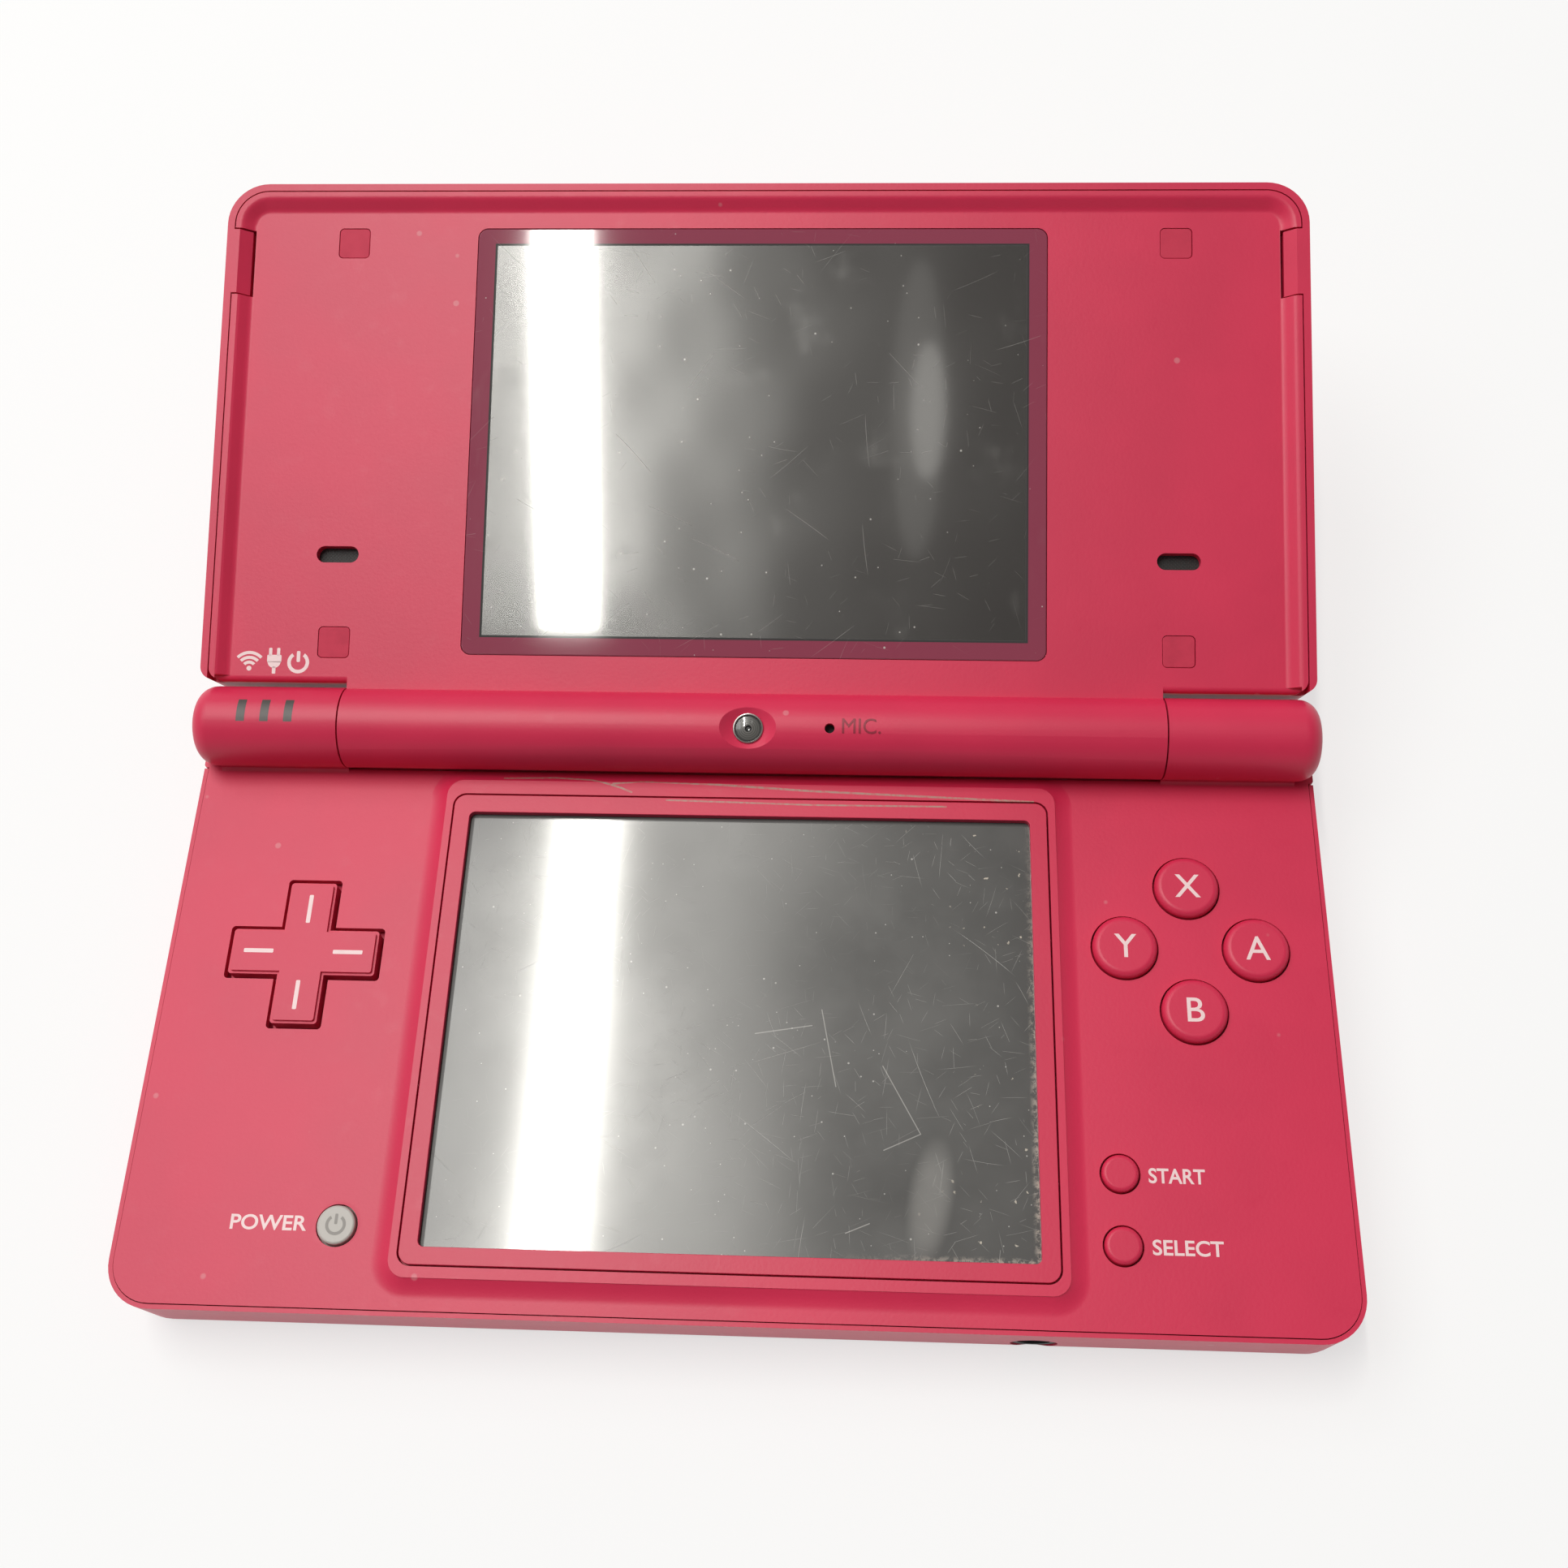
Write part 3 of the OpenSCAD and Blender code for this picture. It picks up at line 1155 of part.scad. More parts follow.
module window_pocket() {
    slab(-window_w / 2 - seam_gap / 2, window_w / 2 + seam_gap / 2, window_y - window_h / 2 - seam_gap / 2,
        window_y + window_h / 2 + seam_gap / 2, lid_face_z - cut, lid_face_z + window_t, window_r, window_r);
    slab(-lcd_w / 2 - 0.1, lcd_w / 2 + 0.1, window_y - lcd_h / 2 - 0.1, window_y + lcd_h / 2 + 0.1,
        lid_face_z + window_t - 0.2, panel_top + cut, 0.6, 0.6);
}

module upper_window() color([0.75, 0.75, 0.78, 0.5]) opened()
    slab(-window_w / 2, window_w / 2, window_y - window_h / 2, window_y + window_h / 2, lid_face_z,
        lid_face_z + window_t, window_r - 0.05, window_r - 0.05);

module upper_lcd() color("#2b2a2c") opened()
    slab(-lcd_w / 2, lcd_w / 2, window_y - lcd_h / 2, window_y + lcd_h / 2, lid_face_z + window_t,
        lid_face_z + window_t + upper_lcd_t, 0.6, 0.6);

module lid_pads() color("#bb3a58") opened() for (x = [-pad_x, pad_x], y = pad_ys)
    slab(x - pad_size / 2, x + pad_size / 2, y - pad_size / 2, y + pad_size / 2, lid_face_z + 0.03,
        lid_face_z + pad_t, 0.55, 0.55);

module lid_screws() color("silver") opened() for (x = [-pad_x, pad_x], y = pad_ys)
    translate([x, y, lid_face_z + pad_t]) {
        cylinder(r = lid_head_r, h = lid_head_t);
        cylinder(r = screw_r, h = panel_top - lid_face_z - pad_t + lid_screw_l);
    }

speaker_w = 14;
speaker_d = 10;
speaker_t = 3;
mesh_t = 0.3;
mesh_margin = 1.2;

module speakers() color("#2e2f33") opened() for (x = [-speaker_x, speaker_x])
    slab(x - speaker_w / 2, x + speaker_w / 2, speaker_y - speaker_d / 2, speaker_y + speaker_d / 2,
        panel_top + mesh_t, panel_top + mesh_t + speaker_t, 2, 2);

module speaker_meshes() color("#1e1e20") opened() for (x = [-speaker_x, speaker_x])
    slab(x - speaker_slot_l / 2 - mesh_margin, x + speaker_slot_l / 2 + mesh_margin,
        speaker_y - speaker_slot_h / 2 - mesh_margin, speaker_y + speaker_slot_h / 2 + mesh_margin,
        panel_top, panel_top + mesh_t, 0.8, 0.8);

// The inner camera looks square out of the inner face, from the underside of the closed barrel
module at_inner_camera() translate([0, hinge_y, hinge_z]) rotate([180, 0, 0]) children();

module inner_camera_cuts() at_inner_camera() {
    // dished recess, the bore of the ring and the microphone hole
    translate([0, 0, barrel_r + 3.6]) sphere(sqrt(recess_half * recess_half + 16), $fn = 96);
    cylinder(r = inner_ring_r, h = barrel_r + cut);
    translate([mic_x, 0, 0]) cylinder(r = mic_r, h = barrel_r + cut);
}

camera_top = barrel_r - 0.75;
camera_box_w = 6;
camera_box_h = 4.8;
camera_box_t = 2.6;
microphone_r = 1.8;
microphone_t = 1.05;

module inner_camera_ring() color("silver") opened() at_inner_camera() difference() {
    translate([0, 0, barrel_bore_r - 1]) cylinder(r = inner_ring_r, h = camera_top - barrel_bore_r + 1);
    translate([0, 0, barrel_bore_r - 2]) cylinder(r = inner_ring_r - 0.45, h = 5);
}

module inner_camera_lens() color("#4a4b4e") opened() at_inner_camera()
    translate([0, 0, barrel_bore_r - 1])
        cylinder(r = inner_ring_r - 0.45, h = camera_top - barrel_bore_r + 0.75);

module inner_camera_module() color("#26282b") opened() at_inner_camera()
    translate([-camera_box_w / 2, -camera_box_h / 2, barrel_bore_r - 1 - camera_box_t])
        cube([camera_box_w, camera_box_h, camera_box_t]);

module microphone() color("#8d9094") opened() at_inner_camera()
    translate([mic_x, 0, barrel_bore_r - 0.45 - microphone_t])
    cylinder(r = microphone_r, h = microphone_t);

module at_outer_camera() translate([outer_cam_x, outer_cam_y, 0]) children();

module outer_camera_ring() color("silver") opened() at_outer_camera() difference() {
    translate([0, 0, roof_z]) cylinder(r = outer_ring_r, h = lid_roof_t);
    translate([0, 0, roof_z - cut]) cylinder(r = outer_ring_r - 0.8, h = 5);
}

module outer_camera_lens() color("#1c1d20") opened() at_outer_camera()
    translate([0, 0, roof_z - 1.2]) cylinder(r = outer_ring_r - 0.8, h = lid_roof_t + 0.9);

module outer_camera_lamp() color("#d9d6d0") opened() at_outer_camera()
    translate([-lamp_pitch, 0, roof_z]) cylinder(r = lamp_r, h = lid_roof_t);

base_bottom_shell();
base_top_shell();
battery_cover();
battery_cover_screws();
battery_pack();
case_screws();
main_board();
lower_lcd();
touch_panel();
touch_screen_bezel();
dpad_cross();
dpad_pivot_ball();
dpad_contact_sheet();
button_a();
button_b();
button_x();
button_y();
face_contact_sheet();
button_start();
button_select();
menu_contact_sheet();
button_power();
power_contact_sheet();
shoulder_button_left();
shoulder_button_right();
shoulder_pins();
shoulder_springs();
shoulder_switches();
volume_up_button();
volume_down_button();
volume_switch_board();
card_slot_reader();
sd_card_reader();
sd_slot_cover();
stylus();
stylus_sleeve();
headphone_socket();
charge_socket();
wireless_module();
led_windows();
led_board();
hinge_cam_unit();
hinge_shaft();
hinge_tube();
lid_outer_shell();
lid_inner_panel();
upper_window();
upper_lcd();
lid_pads();
lid_screws();
speakers();
speaker_meshes();
inner_camera_ring();
inner_camera_lens();
inner_camera_module();
microphone();
outer_camera_ring();
outer_camera_lens();
outer_camera_lamp();
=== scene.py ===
"""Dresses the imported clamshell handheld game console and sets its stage.

One operator makes each piece or group of pieces round the fixed CAD frame. All sizes
are metres in the frame's own axes: +X the player's right, +Y towards the hinge, +Z up.
"""

import json
import math

import bmesh
import bpy
from bpy.props import FloatProperty, FloatVectorProperty, PointerProperty
from mathutils import Matrix, Vector

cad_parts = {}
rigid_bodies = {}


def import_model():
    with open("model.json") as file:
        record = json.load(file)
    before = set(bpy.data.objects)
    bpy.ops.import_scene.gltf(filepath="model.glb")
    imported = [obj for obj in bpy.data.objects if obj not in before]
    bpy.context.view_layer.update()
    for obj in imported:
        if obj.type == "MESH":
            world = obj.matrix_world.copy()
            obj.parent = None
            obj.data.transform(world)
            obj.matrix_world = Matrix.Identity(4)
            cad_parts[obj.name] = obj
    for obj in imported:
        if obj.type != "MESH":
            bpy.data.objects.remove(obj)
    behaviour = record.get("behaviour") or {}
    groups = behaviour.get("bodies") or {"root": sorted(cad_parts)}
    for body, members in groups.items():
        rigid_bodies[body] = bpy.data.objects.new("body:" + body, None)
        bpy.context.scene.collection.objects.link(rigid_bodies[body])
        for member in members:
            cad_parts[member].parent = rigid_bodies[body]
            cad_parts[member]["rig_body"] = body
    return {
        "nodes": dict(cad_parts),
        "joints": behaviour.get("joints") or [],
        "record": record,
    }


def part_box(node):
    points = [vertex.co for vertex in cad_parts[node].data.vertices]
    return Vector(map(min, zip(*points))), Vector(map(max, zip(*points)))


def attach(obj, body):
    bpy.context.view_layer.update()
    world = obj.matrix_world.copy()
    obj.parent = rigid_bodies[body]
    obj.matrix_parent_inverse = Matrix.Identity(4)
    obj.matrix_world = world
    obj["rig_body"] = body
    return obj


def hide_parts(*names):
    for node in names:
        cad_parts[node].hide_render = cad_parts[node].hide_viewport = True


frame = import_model()

bl_info = {
    "name": "Clamshell Handheld Console",
    "version": (1, 0, 0),
    "blender": (4, 5, 0),
    "location": "View3D > Sidebar > Console",
    "description": "Dresses the packed console with its finishes, words and screens",
    "category": "Object",
}

MM = 0.001


# ---- What the frame says ---------------------------------------------------------


def joint(name):
    return next(j for j in frame["joints"] if j["name"] == name)


HINGE = Vector(joint("lid_hinge")["pos_m"])
OPENED = math.radians(joint("lid_hinge")["range_deg"][1])
LID = Matrix.Translation(HINGE) @ Matrix.Rotation(-OPENED, 4, "X") @ Matrix.Translation(-HINGE)
BARREL_R = HINGE.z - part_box("lid_outer_shell")[0].z
LID_LOOKS = LID.to_3x3() @ Vector((0, 0, -1))         # where the opened lid's inner face looks
POWER_BUTTON_PROUD = 0.3 * MM
DECK_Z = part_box("button_power")[1].z - POWER_BUTTON_PROUD
LID_FACE_Z = 11.55 * MM                               # the lid's inner face, when it is closed


def middle(node):
    low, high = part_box(node)
    return (low + high) / 2


# ---- What a user would change ----------------------------------------------------


def tint(name, text, value):
    return FloatVectorProperty(name=name, description=text, subtype="COLOR", size=3,
                               min=0, max=1, default=value)


def length(name, text, value):
    return FloatProperty(name=name, description=text, unit="LENGTH", precision=5, min=0,
                         default=value)


class ConsoleCasing(bpy.types.PropertyGroup):
    shell: tint("Shell", "Colour of the outer casing", (0.640, 0.024, 0.080))
    deck: tint("Deck", "Colour of the deck and the lid's inner face", (0.650, 0.025, 0.082))
    insert: tint("Frame insert", "Colour of the frame round the lower screen",
                 (0.620, 0.025, 0.078))
    pad: tint("Rubber pads", "Colour of the four pads that the closed lid rests on",
              (0.570, 0.022, 0.068))
    edge: length("Edge rounding", "Rounding of the casing's moulded edges", 0.12 * MM)


class ConsoleScreens(bpy.types.PropertyGroup):
    border: tint("Window border", "Colour printed behind the edge of the upper window",
                 (0.230, 0.008, 0.046))
    glass: tint("Dark display", "Colour of a display that is switched off", (0.014, 0.010, 0.008))
    film: tint("Touch film", "Colour of the worn film over the lower display",
               (0.016, 0.014, 0.013))
    scratch: tint("Scratches", "Colour of scratches, dust and rubbed places", (0.60, 0.58, 0.55))
    visible_half_width: length("Visible half width",
                               "Half the width of the upper display that shows", 33.65 * MM)
    visible_half_height: length("Visible half height",
                                "Half the height of the upper display that shows", 25.4 * MM)
    visible_y: length("Visible middle",
                      "Distance of its middle in front of the closed lid's centre", 4.55 * MM)


class ConsoleButtons(bpy.types.PropertyGroup):
    cap: tint("Button caps", "Colour of the round buttons and the direction pad",
              (0.640, 0.025, 0.080))
    power: tint("Power button", "Colour of the power button", (0.50, 0.47, 0.44))
    edge: length("Edge rounding", "Rounding of the small edges of the buttons", 0.1 * MM)


class ConsoleLettering(bpy.types.PropertyGroup):
    ink: tint("Ink", "Colour of the printed letters and signs", (0.90, 0.68, 0.69))
    lift: length("Ink thickness", "How far the print stands on its surface", 0.012 * MM)
    letter: length("Button letter", "Height of the letters on the buttons", 2.85 * MM)
    word: length("Small word", "Height of the words beside the small buttons", 1.68 * MM)


class ConsoleStage(bpy.types.PropertyGroup):
    floor: tint("Floor", "Colour of the plain floor", (0.93, 0.93, 0.93))
    tube: FloatProperty(name="Tube lamp", description="Power of the long tube lamp", unit="POWER",
                        default=10.5, min=0)
    room: FloatProperty(name="Room light", description="Strength of the soft light from all round",
                        default=0.34, min=0)


GROUPS = {"console_casing": ConsoleCasing, "console_screens": ConsoleScreens,
          "console_buttons": ConsoleButtons, "console_lettering": ConsoleLettering,
          "console_stage": ConsoleStage}


# ---- Shader maths ----------------------------------------------------------------


class Value:
    """A shader socket that adds a Math node where it meets an operator."""

    def __init__(self, recipe, socket):
        self.recipe, self.socket = recipe, socket

    def _math(self, operation, *values):
        return self.recipe.node("ShaderNodeMath", {"operation": operation}, *values)

    def __add__(self, other):
        return self._math("ADD", self, other)

    __radd__ = __add__

    def __sub__(self, other):
        return self._math("SUBTRACT", self, other)

    def __rsub__(self, other):
        return self._math("SUBTRACT", other, self)

    def __mul__(self, other):
        return self._math("MULTIPLY", self, other)

    __rmul__ = __mul__

    def __truediv__(self, other):
        return self._math("DIVIDE", self, other)

    def __pow__(self, other):
        return self._math("POWER", self, other)

    def __abs__(self):
        return self._math("ABSOLUTE", self)

    def least(self, other):
        return self._math("MINIMUM", self, other)

    def most(self, other):
        return self._math("MAXIMUM", self, other)

    def sine(self):
        return self._math("SINE", self)

    def cosine(self):
        return self._math("COSINE", self)

    def rise(self, low, high, first=0.0, last=1.0):
        """0 below low, 1 above high and a smooth step between them."""
        return self.recipe.node("ShaderNodeMapRange", {"interpolation_type": "SMOOTHSTEP"},
                                self, low, high, first, last)

    def fall(self, low, high):
        """1 below low, 0 above high and a smooth step between them."""
        return self.rise(low, high, 1.0, 0.0)


class Recipe:
    """Builds the nodes of one material."""

    def __init__(self, name, owner=None):
        self.material = owner or bpy.data.materials.new(name)
        self.material.use_nodes = True
        self.tree = self.material.node_tree
        self.tree.nodes.clear()
        self.coords = self.node("ShaderNodeTexCoord", output="Object")

    def node(self, kind, settings=None, *inputs, output=0, **named):
        """One node: its settings first, then its sockets by number or by name."""
        made = self.tree.nodes.new(kind)
        for key, value in (settings or {}).items():
            setattr(made, key, value)
        filled = {**dict(enumerate(inputs)), **{k.replace("_", " "): v for k, v in named.items()}}
        for key, value in filled.items():
            if isinstance(value, Value):
                self.tree.links.new(value.socket, made.inputs[key])
            elif value is not None:
                target = made.inputs[key]
                if target.type == "RGBA" and len(value) == 3:
                    value = (*value, 1)
                target.default_value = value
        return Value(self, made.outputs[output]) if made.outputs else None

    def mix(self, factor, first, second):
        """The colour first, turning to second as factor goes from 0 to 1."""
        return self.node("ShaderNodeMix", {"data_type": "RGBA"}, factor, None, None, None, None,
                         None, first, second, output=2)

    def placed(self, vector=None, location=(0, 0, 0), rotation=(0, 0, 0), scale=(1, 1, 1),
               kind="POINT"):
        """A vector, or the object's own coordinates, moved, turned and scaled."""
        return self.node("ShaderNodeMapping", {"vector_type": kind}, vector or self.coords,
                         location, rotation, scale)

    def closed(self):
        """The point of the closed lid, in millimetres from the hinge."""
        return self.placed(location=HINGE, rotation=(-OPENED, 0, 0), scale=(MM, MM, MM),
                           kind="TEXTURE")

    def vector_maths(self, operation, first, second, output=0):
        return self.node("ShaderNodeVectorMath", {"operation": operation}, first, second,
                         output=output)

    def cells(self, vector, scale, **settings):
        """The node of a cell pattern, for its distance, colour and position."""
        made = self.node("ShaderNodeTexVoronoi", {"feature": "F1", **settings}, Vector=vector,
                         Scale=scale)
        return made, made.socket.node.outputs

    def split(self, vector):
        parts = self.node("ShaderNodeSeparateXYZ", None, vector)
        node = parts.socket.node
        return [Value(self, out) for out in node.outputs]

    def noise(self, scale, detail=2.0, rough=0.5, vector=None, output=0):
        return self.node("ShaderNodeTexNoise", None, output=output, Vector=vector or self.coords,
                         Scale=scale, Detail=detail, Roughness=rough)

    def finish(self, normal=None, **sockets):
        """The surface: a Principled shader with these sockets."""
        if normal is not None:
            sockets["Normal"] = normal
        surface = self.node("ShaderNodeBsdfPrincipled", None, **sockets)
        self.node("ShaderNodeOutputMaterial", None, surface)
        return self.material

    def seen(self):
        """1 for what the camera sees directly or in a mirror or glass, 0 for light."""
        rays = self.node("ShaderNodeLightPath").socket.node.outputs
        return strongest(*(Value(self, rays["Is " + ray + " Ray"])
                           for ray in ("Camera", "Glossy", "Transmission")))

    def backdrop(self, base, share):
        """A matt floor that looks white where it is seen, and still takes a shadow."""
        matt = self.node("ShaderNodeBsdfDiffuse", None, base)
        white = self.node("ShaderNodeEmission", None, (1, 1, 1), 1.0)
        self.node("ShaderNodeOutputMaterial", None,
                  self.node("ShaderNodeMixShader", None, self.seen() * share, matt, white))
        return self.material

    def bump(self, height, depth, normal=None):
        return self.node("ShaderNodeBump", None, Height=height, Strength=1.0, Distance=depth,
                         Normal=normal)


def colour(value):
    return tuple(value)


def shade(value, factor):
    return tuple(min(1.0, c * factor) for c in value)


# ---- Finishes --------------------------------------------------------------------

made_materials = {}


def once(maker):
    """A material is made the first time that it is asked for."""

    def ask(name, *rest, **options):
        if name not in made_materials:
            made_materials[name] = maker(name, *rest, **options)
        return made_materials[name]

    return ask


GRAIN = 2600          # fine spark-eroded texture, per metre
SWIRL = 420           # handled patches
CLOUD = 38            # broad, faint changes of tone


@once
def moulded_plastic(name, base, rough=0.37, grain=0.011 * MM, rubbed=()):
    """Satin moulded plastic: a fine grain, faint clouds of colour and a handled gloss.

    rubbed lists lines in millimetres, each with its width, where the plastic is scraped."""
    m = Recipe(name)
    cloud = m.noise(CLOUD, 3.0, 0.6)
    fine = m.noise(GRAIN, 2.0, 0.6)
    swirl = m.noise(SWIRL, 3.0, 0.6)
    tone = m.mix(cloud.rise(0.35, 0.68), shade(base, 0.955), shade(base, 1.04))
    tone = m.mix(swirl.rise(0.60, 0.80) * 0.10, tone, shade(base, 0.86))
    dust = specks(m, m.coords, 210, 0.10, 0.82)
    tone = m.mix(dust * 0.22, tone, (0.75, 0.55, 0.56))
    if rubbed:
        place = m.placed(scale=(1 / MM, 1 / MM, 1 / MM))
        patchy = m.noise(1.6, 3.0, 0.7, place).rise(0.34, 0.62)
        marks = strongest(*(drawn_line(m, place, line, width) for line, width in rubbed))
        tone = m.mix(marks * (0.35 + patchy * 0.5), tone, (0.40, 0.30, 0.24))
    return m.finish(
        m.bump(fine, grain, m.bump(cloud, 0.02 * MM)),
        Base_Color=tone,
        Roughness=rough + cloud * 0.06 + fine * 0.03 - swirl.rise(0.55, 0.75) * 0.03,
        Specular_IOR_Level=0.42,
    )


def specks(m, vector, scale, size, rarity):
    """Small round specks, each in a random cell of its own."""
    cell, outputs = m.cells(vector, scale)
    chance = m.split(Value(m, outputs["Color"]))[0]
    return cell.fall(size * 0.6, size) * chance.rise(rarity, rarity + 0.02)


def strokes(m, vector, scale, width, span, rarity=0.0, bend=0.0):
    """One thin scratch in each cell, at a random angle and of a random strength.

    The vector is flat and in millimetres; width and span are in millimetres too. A scratch is
    left out where its cell's own number is below rarity, and bend curves it."""
    _, outputs = m.cells(vector, scale)
    chance, other, third = m.split(Value(m, outputs["Color"]))
    x, y, _ = m.split(m.vector_maths("SUBTRACT", vector, Value(m, outputs["Position"])))
    angle = chance * (2 * math.pi)
    along = x * angle.cosine() + y * angle.sine()
    across = y * angle.cosine() - x * angle.sine()
    if bend:
        across = across + along * along * (third - 0.5) * bend
    line = abs(across).fall(width * 0.35, width)
    ends = abs(along).fall(span * 0.35, span)
    return line * ends * other.rise(rarity, rarity + 0.05) * (0.4 + third * 0.6)


def drawn_line(m, place, points, width):
    """A thin line through points in millimetres, fading at its edges."""
    x, y, _ = m.split(place)
    parts = []
    for (ax, ay), (bx, by) in zip(points, points[1:]):
        dx, dy = bx - ax, by - ay
        along = (((x - ax) * dx + (y - ay) * dy) / (dx * dx + dy * dy)).most(0.0).least(1.0)
        off_x, off_y = x - ax - along * dx, y - ay - along * dy
        parts.append((off_x * off_x + off_y * off_y).fall(width * width * 0.2, width * width))
    return strongest(*parts)


def strongest(*masks):
    """The highest of several masks at each point."""
    most = masks[0]
    for mask in masks[1:]:
        most = most.most(mask)
    return most


@once
def window_print(name, border, glass, scratch, half_width, half_height, middle_y):
    """The clear upper window: its printed border, the dark display behind it and its wear."""
    m = Recipe(name)
    place = m.closed()
    x, y, _ = m.split(place)
    flat = m.vector_maths("MULTIPLY", place, (1, 1, 0))
    out_x = abs(x) - half_width / MM
    out_y = abs(y + (HINGE.y + middle_y) / MM) - half_height / MM
    outside = out_x.most(out_y)
    printed = outside.rise(-0.02, 0.05)
    rim = outside.rise(-0.30, -0.22)
    handled = m.noise(0.06, 2.0, 0.5, flat).rise(0.42, 0.60)
    lines = strongest(
        strokes(m, flat, 0.09, 0.035, 4.0, 0.5, 0.02),
        strokes(m, m.placed(flat, (3.3, 7.1, 0)), 0.16, 0.024, 2.4, 0.3, 0.03) * handled,
        strokes(m, m.placed(flat, (9.2, 1.7, 0)), 0.36, 0.022, 1.1, 0.4) * handled,
    )
    dust = strongest(specks(m, flat, 0.55, 0.09, 0.86), specks(m, flat, 1.3, 0.13, 0.93))
    smear = m.noise(0.075, 3.0, 0.62, flat).rise(0.56, 0.78)
    streak = m.noise(0.5, 2.0, 0.5, m.placed(flat, scale=(1, 0.22, 1), rotation=(0, 0, 0.6)))
    display = m.mix(rim, glass, (0.002, 0.001, 0.001))
    tone = m.mix(printed, display, border)
    worn = lines * 0.30 + dust * 0.7 + smear * streak.rise(0.45, 0.62) * 0.07
    tone = m.mix(worn.least(1.0), tone, scratch)
    return m.finish(
        m.bump(m.noise(0.05, 1.0, 0.4, flat), 0.25 * MM),
        Base_Color=tone,
        Roughness=0.22 + smear * 0.07 + lines * 0.2 + printed.most(rim) * 0.6,
        Specular_IOR_Level=0.7,
        Coat_Weight=1.0 - lines * 0.5 - dust,
        Coat_Roughness=0.05,
        Coat_IOR=1.5,
    )


# All in millimetres from the frame's origin
FILM_EDGE = (34.05, 21.95, 30.15)     # the side, rear and front edges of the film's opening
FILM_CUTS = (                         # deep scratches in the film
    ((16.9, -18.1), (21.0, -16.2), (16.7, -8.5)),
    ((12.8, -27.3), (15.4, -26.2)),
    ((2.0, -5.0), (8.5, -3.9)),
    ((9.6, -2.0), (11.4, -11.0)),
)
LIP_MARKS = (                         # scraped lines on the strip behind the frame, and widths
    (((-30.3, 26.7), (-24.0, 26.9), (-19.4, 26.6), (-15.8, 25.5), (-14.4, 24.9)), 0.16),
    (((-16.7, 26.0), (-13.2, 26.4), (-4.3, 26.1), (7.7, 25.4), (20.0, 24.95), (34.5, 24.4)), 0.18),
)
# a scraped line on the frame's rear edge
INSERT_MARKS = ((((-10.0, 23.9), (-2.2, 23.75), (7.7, 23.55), (24.0, 23.6)), 0.14),)


@once
def worn_film(name, film, scratch):
    """The touch film: satin, hazed by use, with hairline scratches and dirt at its edges."""
    m = Recipe(name)
    flat = m.placed(scale=(1 / MM, 1 / MM, 0))
    x, y, _ = m.split(flat)
    used = m.noise(0.045, 2.0, 0.5, flat).rise(0.40, 0.60)
    hair = strongest(
        strokes(m, flat, 0.16, 0.024, 2.6, 0.15, 0.03) * used,
        strokes(m, m.placed(flat, (5.1, 2.3, 0)), 0.26, 0.022, 1.8, 0.2, 0.04) * used,
        strokes(m, m.placed(flat, (1.9, 8.3, 0)), 0.50, 0.020, 1.0, 0.3) * (0.3 + used * 0.7),
        strokes(m, m.placed(flat, (7.7, 4.4, 0)), 0.08, 0.035, 5.0, 0.5, 0.015),
    )
    deep = strongest(*(drawn_line(m, flat, line, 0.075) for line in FILM_CUTS))
    dust = strongest(specks(m, flat, 0.7, 0.10, 0.88), specks(m, flat, 1.6, 0.14, 0.93))
    haze = m.noise(0.07, 4.0, 0.6, flat).rise(0.35, 0.75)
    # dirt packed along the right edge and thickest in the near corner
    inset_x, inset_y = x * -1.0 + FILM_EDGE[0], y + FILM_EDGE[2]
    corner = inset_x.least(inset_y).fall(0.05, 0.9) * (x * 0.5 - y * 0.2).rise(10.0, 22.0)
    packed = corner * m.noise(1.1, 4.0, 0.75, flat).rise(0.44, 0.60)
    torn = m.vector_maths("ADD", flat, m.noise(1.5, 2.0, 0.7, flat, "Color"))
    chips = specks(m, torn, 0.75, 0.15, 0.70) * (x + abs(y + 4.0) * 0.4).rise(26.0, 36.0)
    # a greasy patch low on the right
    smudge_x, smudge_y = (x - 22.0 + (y + 24.0) * -0.12) / 2.6, (y + 23.5) / 7.0
    smudge = (smudge_x * smudge_x + smudge_y * smudge_y).fall(0.0, 1.2)
    # the film is darkened almost to black along its left and rear edges
    dark_edge_band = (x * -1.0 - (FILM_EDGE[0] - 0.5)).most(y - (FILM_EDGE[1] - 0.5)).rise(-0.03, 0.03)
    # the film isn't quite flat, which bends what it mirrors
    twist = x * (y + 10.0) * 0.00025
    tone = m.mix(haze * 0.02 + used * 0.012 + smudge * 0.22, film, scratch)
    worn = (hair * (0.20 + used * 0.25) + dust * 0.6 + deep * 0.40).least(1.0)
    tone = m.mix(worn, tone, scratch)
    tone = m.mix((packed * 0.5 + chips * 0.75).least(1.0), tone, (0.62, 0.55, 0.45))
    tone = m.mix(dark_edge_band, tone, (0.010, 0.009, 0.009))
    return m.finish(
        m.bump(hair * -1.0, 0.004 * MM, m.bump(m.noise(0.030, 0.0, 0.3, flat) * 0.9 + twist, MM)),
        Base_Color=tone,
        Roughness=0.275 + haze * 0.05 + packed * 0.2 + dark_edge_band * 0.2,
        Specular_IOR_Level=0.85,
        Coat_Weight=(0.95 - hair * 0.4) * (1.0 - (packed * 0.9 + dark_edge_band * 0.6).least(1.0)),
        Coat_Roughness=0.08,
        Coat_IOR=1.5,
    )


@once
def metal(name, base, rough):
    """Plated or machined metal with a faint turned or drawn grain."""
    m = Recipe(name)
    drawn = m.noise(900, 2.0, 0.5, m.placed(scale=(1, 0.1, 1)))
    return m.finish(m.bump(drawn, 0.002 * MM), Base_Color=m.mix(drawn, shade(base, 0.9), base),
                    Metallic=1.0, Roughness=rough + drawn * 0.12)


